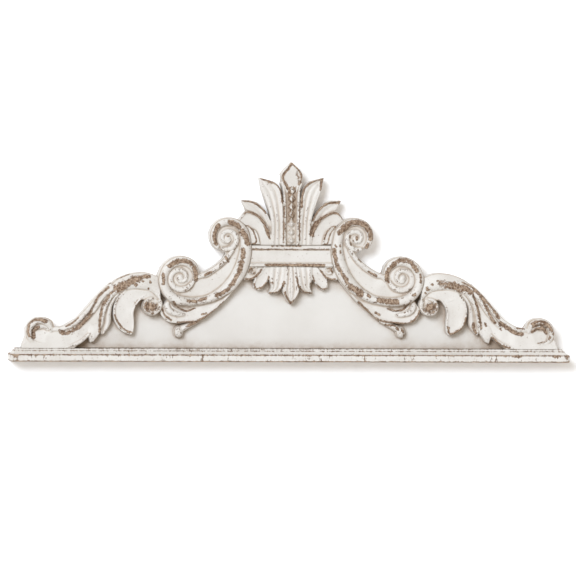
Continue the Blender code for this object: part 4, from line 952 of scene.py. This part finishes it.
WEAR_AND_SHADE_LEFT = (
    # Arm, foot and end volute.
    (3.4, 0.8, 118, 289, 125.5, 285, 132, 281.8, 139, 279), (1.9, 0.8, 139, 279, 145, 277, 150, 276.5),
    # The next three strokes lay the shaded groove and band beside the outer vein as bare wood: wear and
    # painted shade together.
    (1.1, 0.72, 118, 290, 111.6, 293.7, 108.3, 298.5, 104.4, 304.3, 102.5, 310, 101, 318, 100, 325,
     99.6, 332.2), (2, 0.68, 61.3, 333.3, 67.1, 334, 73.8, 330.7, 80.6, 326.3, 86.3, 320.6, 90, 315.8),
    (1.2, 0.6, 90, 315, 95.8, 304.3, 99.6, 296.6, 109.2, 288),
    (0.7, 0.74, 66.2, 327.3, 72.9, 323.5, 78.7, 318.7),
    (0.8, 0.74, 97.7, 294.9, 104.4, 288.3, 113, 282, 121.7, 277.8, 130.4, 274.5),
    (0.9, 0.8, 115.5, 315.8, 117.9, 321.6, 122.7, 328.3, 128.5, 332.2, 131.8, 333.2),
    (1.4, 0.8, 136.2, 284.8, 137, 285.4), (1, 0.8, 143.6, 281, 144, 281.6),
    (1.1, 0.8, 151.2, 281.4, 151.8, 283), (0.7, 0.8, 149.2, 288.8, 149.6, 289.4),
    (3.8, 0.8, 149.4, 307.4, 153, 307.8),
    (1.4, 0.7, 27.7, 325.9, 31.5, 321.8, 37.3, 320, 43, 320.8, 45.5, 322.5),
    (1.7, 0.84, 37.5, 328.6, 34.4, 331.6, 33.9, 335, 34.4, 338.2),
    (1.1, 0.55, 28.7, 327, 28.2, 332, 29, 337),
    # C-scroll.
    (1.7, 0.76, 217, 243, 215.4, 237, 216, 230, 219, 225), (2, 0.78, 230, 221.8, 234, 223, 239, 226.6),
    (2.3, 0.8, 242.6, 231.4, 246, 236.5, 248.6, 243), (2, 0.8, 244.2, 249.6, 243.8, 257),
    (1, 0.72, 222, 250, 226, 256, 230, 262), (2.1, 0.74, 243, 262, 240, 271, 235.5, 280, 231, 286),
    (1.7, 0.74, 230, 288, 223, 293, 216, 296), (1.2, 0.72, 206, 299, 196, 301.5, 188, 301),
    (1.8, 0.76, 197, 280, 196, 271, 192, 264, 186, 261, 178, 261.5, 170, 266),
    (1.2, 0.7, 164, 274, 164, 284), (1, 0.7, 212, 272, 206, 275),
    # Tail leaf.
    (1.4, 0.76, 226, 303, 218, 310, 211, 315, 198, 322, 190, 326), (1, 0.74, 207, 314, 203, 315),
    (0.8, 0.72, 198, 322.5, 178, 323), (0.9, 0.74, 172, 321, 166, 316, 163, 309),
    (0.8, 0.74, 196, 309, 187, 311.5, 178, 307, 174, 302),
    # Palmette.
    (1.1, 0.86, 291, 163, 288.6, 167.8, 283.8, 173.6, 283, 178, 286, 183, 289, 188.5, 289.6, 195),
    (2, 0.76, 263, 177.4, 267, 178.6, 271.6, 181),
    (1.2, 0.82, 272, 180.4, 278, 184, 281.5, 190, 283, 201),
    (0.7, 0.6, 284.6, 206, 284.6, 222, 284.6, 242), (0.9, 0.76, 243, 200, 250, 201, 257, 204, 267, 212),
    (1, 0.78, 239, 218, 244, 213, 249, 211.5, 258, 215, 265, 223),
    (1.2, 0.74, 266, 226, 268.4, 231, 271, 238),
    (0.6, 0.8, 246.6, 226, 249, 225.6, 252.6, 228.6, 255.6, 233, 257.4, 238, 257.8, 242, 254.4, 243.6),
    # Beads.
    (0.55, 0.8, 291.6, 186, 289, 190, 291.6, 194, 289, 198.3, 291.6, 202, 289, 206, 291.6, 209.8, 289,
     213.5, 291.4, 217.6, 289, 221.7),
    # Band.
    (1.3, 0.74, 292, 265, 280, 265, 267, 265), (0.7, 0.68, 292, 249.5, 270, 249.5, 254, 249.5),
    (0.6, 0.7, 292, 245.8, 278, 245.8, 273, 245.8),
    # Pendant.
    (1, 0.78, 291, 303.4, 287.8, 298.5, 285.4, 292.4),
    (0.9, 0.74, 285.2, 281.4, 281.5, 290.5, 276.7, 293, 270.6, 293),
    (0.7, 0.72, 274.2, 283.2, 269.6, 281.8, 270, 276.5),
    (0.7, 0.7, 267.6, 283, 263.3, 287.5, 257.2, 289, 255.4, 284),
    (0.8, 0.78, 262.7, 269.8, 258.4, 275.3, 252.3, 279, 247.4, 279.2),
    (0.7, 0.76, 250, 272, 252, 268, 254, 270),
)
# Painted shade and glaze in the deepest pockets, in rows of the same form.
POCKET_GLAZE_AND_SHADE_RIGHT = (
    (3.8, 0.9, 441, 303, 443, 309), (1.8, 0.6, 492, 340, 498, 345, 504, 348),
    (1.4, 1, 295.6, 187, 295.8, 204, 295.8, 220), (1.8, 0.6, 466, 326, 468, 331),
)
POCKET_GLAZE_AND_SHADE_LEFT = (
    (3.8, 0.9, 139, 302, 137, 308), (1.4, 1, 289, 187, 288.9, 204, 289, 221),
    (1.8, 0.6, 110, 328, 112, 331),
)

# Unevenness of the carved faces: seed, grain and height in millimetres.
WAVE_SEED = 5
WAVE_GRAIN = 16
WAVE_HEIGHT = 0.35

scroll, limb, strap, fan, drop = carvings()
marks_right = {"worn": strokes_on(WEAR_RIGHT, 1), "pocket_glaze_and_shade": strokes_on(POCKET_GLAZE_AND_SHADE_RIGHT, 1)}
marks_left = {"worn": strokes_on(WEAR_AND_SHADE_LEFT, -1), "pocket_glaze_and_shade": strokes_on(POCKET_GLAZE_AND_SHADE_LEFT, -1)}
marks_whole = {k: np.concatenate([marks_left[k][:, ::-1], marks_right[k]], 1) for k in marks_right}
wave = unevenness(WAVE_SEED, WAVE_GRAIN, WAVE_HEIGHT)
paint_carved = carved_paint("distressed_paint", RUB, (1, 1, 1), CARVED_NEAR)


def settle(obj, node):
    """Puts a piece in place of a solid: hides the solid and hangs the piece on the root body."""
    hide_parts(node)
    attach(obj, "root")


sides = (("_right", wave[:, NX:], marks_right, False), ("_left", wave[:, NX - 1 :: -1], marks_left, True))
for name, drawn in (("c_scroll", scroll), ("arm", limb)):
    mask = drawn > NONE
    for side, uneven, marks, mirror in sides:
        h = np.where(mask, drawn + uneven, NONE)
        settle(carved(name + side + "_carving", h, mask, 0, marks, mirror, paint_carved),
               name + side)
for name, drawn, uneven in (("palmette", fan, 1.0), ("pendant", drop, 1.0), ("band", strap, 0.3)):
    whole = both(drawn)
    mask = whole > NONE
    h = np.where(mask, whole + wave * uneven, NONE)
    settle(carved(name + "_carving", h, mask, -NX * CELL, marks_whole, False, paint_carved),
           name)

# Rail: one section, as height and distance from the wall in millimetres, carried round both
# returned ends.
RAIL_FINE = (
    (0, 44), (0, 50), (0, 55.6), (0.3, 56.9), (0.9, 57.7), (1.8, 58), (2.8, 58),
    (3.8, 58), (5.5, 58), (8, 58), (11, 58), (13.2, 58), (14.3, 58), (15.2, 57.8),
    (15.9, 57.2), (16.3, 56.4), (16.9, 55.2), (17.9, 53.4), (19.2, 51.6), (20.6, 50),
    (21.6, 49.2), (22.3, 48.8), (22.9, 48.5), (23.3, 48.2), (23.45, 47), (23.6, 45.9),
    (24, 45.6), (25.4, 45.5), (26.6, 45.45), (27.2, 45.2), (27.5, 44.8), (27.6, 44.2),
    (27.6, 40), (27.6, 30),
)
END_COLUMNS = 20
FRONT_COLUMNS = 760
KNOCKS = 70
KNOCK_SEED = 21
KNOCK_SIZES = (1.2, 4.5)
KNOCK_DEPTH = 0.5
ARRIS = 14.9
RAIL_FACE = 55
RAIL_GRAIN = (1, 0.3, 0.3)
# Worn lines along the rail: height, half height of the line and strength.
RAIL_WEAR = ((0.7, 1.3, 0.80), (ARRIS, 1.1, 0.76), (23.0, 0.8, 0.56), (27.3, 0.7, 0.44),
             (8.5, 4.0, 0.13))
# More wear on stretches of the lowest line: from, to and strength.
LOW_STRETCHES = (
    (-506, -448, 0.12), (478, 494, 0.12), (540, 554, 0.12), (585, 600, 0.15), (-600, -590, 0.12),
    (-60, 150, 0.08),
)
# Drips below the arris: from and to.
DRIPS = ((478, 496), (564, 582), (-598, -588), (590, 600))


def bell(value, middle, half):
    """1 at the middle, falling off smoothly to either side."""
    return np.exp(-0.5 * ((value - middle) / half) ** 2)


def stretch_of(x, start, end, soft):
    """1 between two places along the rail, with a soft change at each."""
    return np.clip((x - start) / soft + 0.5, 0, 1) * np.clip((end - x) / soft + 0.5, 0, 1)


def rail_moulding(material):
    """The section's points carried along the left return, the front and the right return."""
    turn_in = np.linspace(0, 1, END_COLUMNS, endpoint=False)
    front = np.linspace(-1, 1, FRONT_COLUMNS)
    rows = []
    for z, d in RAIL_FINE:
        w = WIDTH * 500 - (RAIL_DEPTH * 1000 - d)
        row = [(-w, -d * s, z) for s in turn_in]
        row += [(w * s, -d, z) for s in front]
        row += [(w, -d * s, z) for s in turn_in[::-1]]
        rows.append(row)
    v = np.array(rows)
    z, d = np.array(RAIL_FINE).T[:, :, None]
    x = v[:, :, 0]
    run = x + v[:, :, 1] * np.sign(x)
    worn = sum(bell(z, at, half) * strength for at, half, strength in RAIL_WEAR) + 0 * x
    for start, end, strength in LOW_STRETCHES:
        worn += stretch_of(x, start, end, 6) * bell(z, 1.4, 1.5) * strength
    for start, end in DRIPS:
        worn += stretch_of(x, start, end, 4) * (bell(z, ARRIS, 1.1) * 0.1 + bell(z, 12.0, 2.2) * 0.5)
    low_edge = bell(z, 0.6, 1.1) * (d > RAIL_FACE)
    rng = np.random.default_rng(KNOCK_SEED)
    dent = 0 * x
    for at, size in zip(rng.uniform(-600, 600, KNOCKS), rng.uniform(*KNOCK_SIZES, KNOCKS)):
        dent += bell(run, at, size) * low_edge
    worn += dent * 0.15
    wavy = 0.12 * np.sin(x / 41.0) + 0.1 * np.sin(x / 17.3 + 1.0)
    v[:, :, 1] += KNOCK_DEPTH * dent * (v[:, :, 1] < -40)
    v[:, :, 2] += KNOCK_DEPTH * 0.6 * dent + wavy * 0.25 * ((z > 0.2) & (z < 27.0))
    v[:, :, 2] = np.clip(v[:, :, 2], 0, RAIL_HEIGHT * 1000)
    # Painted shade and glaze in the crease under the fillet.
    cave = bell(z, 23.2, 0.5) * 0.3 + 0 * x
    last, columns = len(RAIL_FINE) - 1, v.shape[1]
    faces = []
    for a in range(0, last * columns, columns):
        faces += [[a + k, a + k + 1, a + k + 1 + columns, a + k + columns] for k in range(columns - 1)]
    faces.append([last * columns + k for k in range(columns)])
    faces.append(list(range(columns))[::-1])
    ends = [i * columns for i in range(last + 1)]
    faces.append(ends + [k + columns - 1 for k in ends][::-1])
    fields = {"worn": worn, "cave": cave, "ridge": 0 * x, "pocket_glaze_and_shade": 0 * x}
    return add_mesh("base_rail_moulding", v.reshape(-1, 3), faces, fields, material)


paint_rail = carved_paint("distressed_paint_rail", 0.0, RAIL_GRAIN, RAIL_NEAR)
settle(rail_moulding(paint_rail), "base_rail")

paint_panel = flat_paint("panel_paint")
for o in bpy.data.objects:
    if o.name.startswith("back_panel") and o.type == "MESH":
        for slot in o.material_slots:
            slot.material = paint_panel

# Stage: a white wall behind, open from its back, and a pale floor far below.
WALL_HALF = 3.0
WALL_TOP = 2.2
WALL_GAP = 0.0008
WALL_GLOW = 0.15
FLOOR_Z = -1.30
FLOOR_HALF = 6.0


def stage_material(name, colour, rough, glow, open_back):
    """Plain matt colour with faint clouds, and clear from behind where its back is open."""
    m, t, b = new_material(name)
    dull = tuple(k * 0.992 for k in colour)
    t.links.new(ramp(t, noise(t, 3.0, 3, 0.5), 0.3, 0.7, dull, colour), b.inputs["Base Color"])
    preset(b, {"Roughness": rough, "Specular IOR Level": 0.1, "Emission Color": (1, 1, 1, 1),
               "Emission Strength": glow})
    if open_back:
        side, clear = t.nodes.new("ShaderNodeNewGeometry"), t.nodes.new("ShaderNodeBsdfTransparent")
        mix = t.nodes.new("ShaderNodeMixShader")
        out = next(k for k in t.nodes if k.type == "OUTPUT_MATERIAL")
        t.links.new(side.outputs["Backfacing"], mix.inputs[0])
        t.links.new(b.outputs[0], mix.inputs[1])
        t.links.new(clear.outputs[0], mix.inputs[2])
        t.links.new(mix.outputs[0], out.inputs["Surface"])
    return m


def plane(name, corners, material):
    """A rectangle of the stage."""
    mesh = bpy.data.meshes.new(name)
    mesh.from_pydata(corners, [], [(0, 1, 2, 3)])
    mesh.materials.append(material)
    placed(name, mesh)


w, y = WALL_HALF, WALL_GAP
plane("wall", [(-w, y, FLOOR_Z), (w, y, FLOOR_Z), (w, y, WALL_TOP), (-w, y, WALL_TOP)],
      stage_material("wall_white", (0.95, 0.95, 0.95), 0.9, WALL_GLOW, True))
w, y = WALL_HALF, FLOOR_HALF
plane("floor", [(-w, -y, FLOOR_Z), (w, -y, FLOOR_Z), (w, y, FLOOR_Z), (-w, y, FLOOR_Z)],
      stage_material("floor_pale", (0.90, 0.90, 0.89), 0.8, 0.0, False))

# Light: a broad soft key from the upper left in front, and an even warm surround.
KEY_DIRECTION = (0.48, 1.0, -0.39)
KEY_STRENGTH = 2.27
KEY_ANGLE = 22
KEY_COLOUR = (0.93, 1.02, 1.12)
WORLD_STRENGTH = 0.49
WORLD_COLOUR = (1.0, 0.88, 0.74)
sun = bpy.data.lights.new("key", "SUN")
sun.energy = KEY_STRENGTH
sun.angle = math.radians(KEY_ANGLE)
sun.color = KEY_COLOUR
key = placed("key", sun)
key.rotation_euler = Vector(KEY_DIRECTION).to_track_quat("-Z", "Y").to_euler()
world = bpy.data.worlds.new("surround")
world.use_nodes = True
tree = world.node_tree
path, backdrop = tree.nodes.new("ShaderNodeLightPath"), tree.nodes.new("ShaderNodeBackground")
join = tree.nodes.new("ShaderNodeMixShader")
around = tree.nodes["Background"]
preset(around, {"Color": (*WORLD_COLOUR, 1), "Strength": WORLD_STRENGTH})
preset(backdrop, {"Color": (1, 1, 1, 1)})
tree.links.new(path.outputs["Is Camera Ray"], join.inputs[0])
tree.links.new(around.outputs[0], join.inputs[1])
tree.links.new(backdrop.outputs[0], join.inputs[2])
tree.links.new(join.outputs[0], tree.nodes["World Output"].inputs["Surface"])
bpy.context.scene.world = world
bpy.context.scene.view_settings.view_transform = "Standard"

# Camera: a very long lens from the left, a little above, and turned by a hair.
AZIMUTH = math.radians(-8.5)
ELEVATION = math.radians(2.5)
ROLL = math.radians(0.55)
DISTANCE = 30.0
AIM = Vector((0.0, 0.0, -0.0345))
LENS = 880.6
back = Vector((
    math.sin(AZIMUTH) * math.cos(ELEVATION),
    -math.cos(AZIMUTH) * math.cos(ELEVATION),
    math.sin(ELEVATION),
))
lens = bpy.data.cameras.new("camera")
lens.lens = LENS
lens.sensor_width = 36.0
lens.clip_end = 100.0
camera = placed("camera", lens)
camera.location = AIM + back * DISTANCE
turned = (-back).to_track_quat("-Z", "Y") @ Quaternion((0, 0, 1), ROLL)
camera.rotation_euler = turned.to_euler()
bpy.context.scene.camera = camera
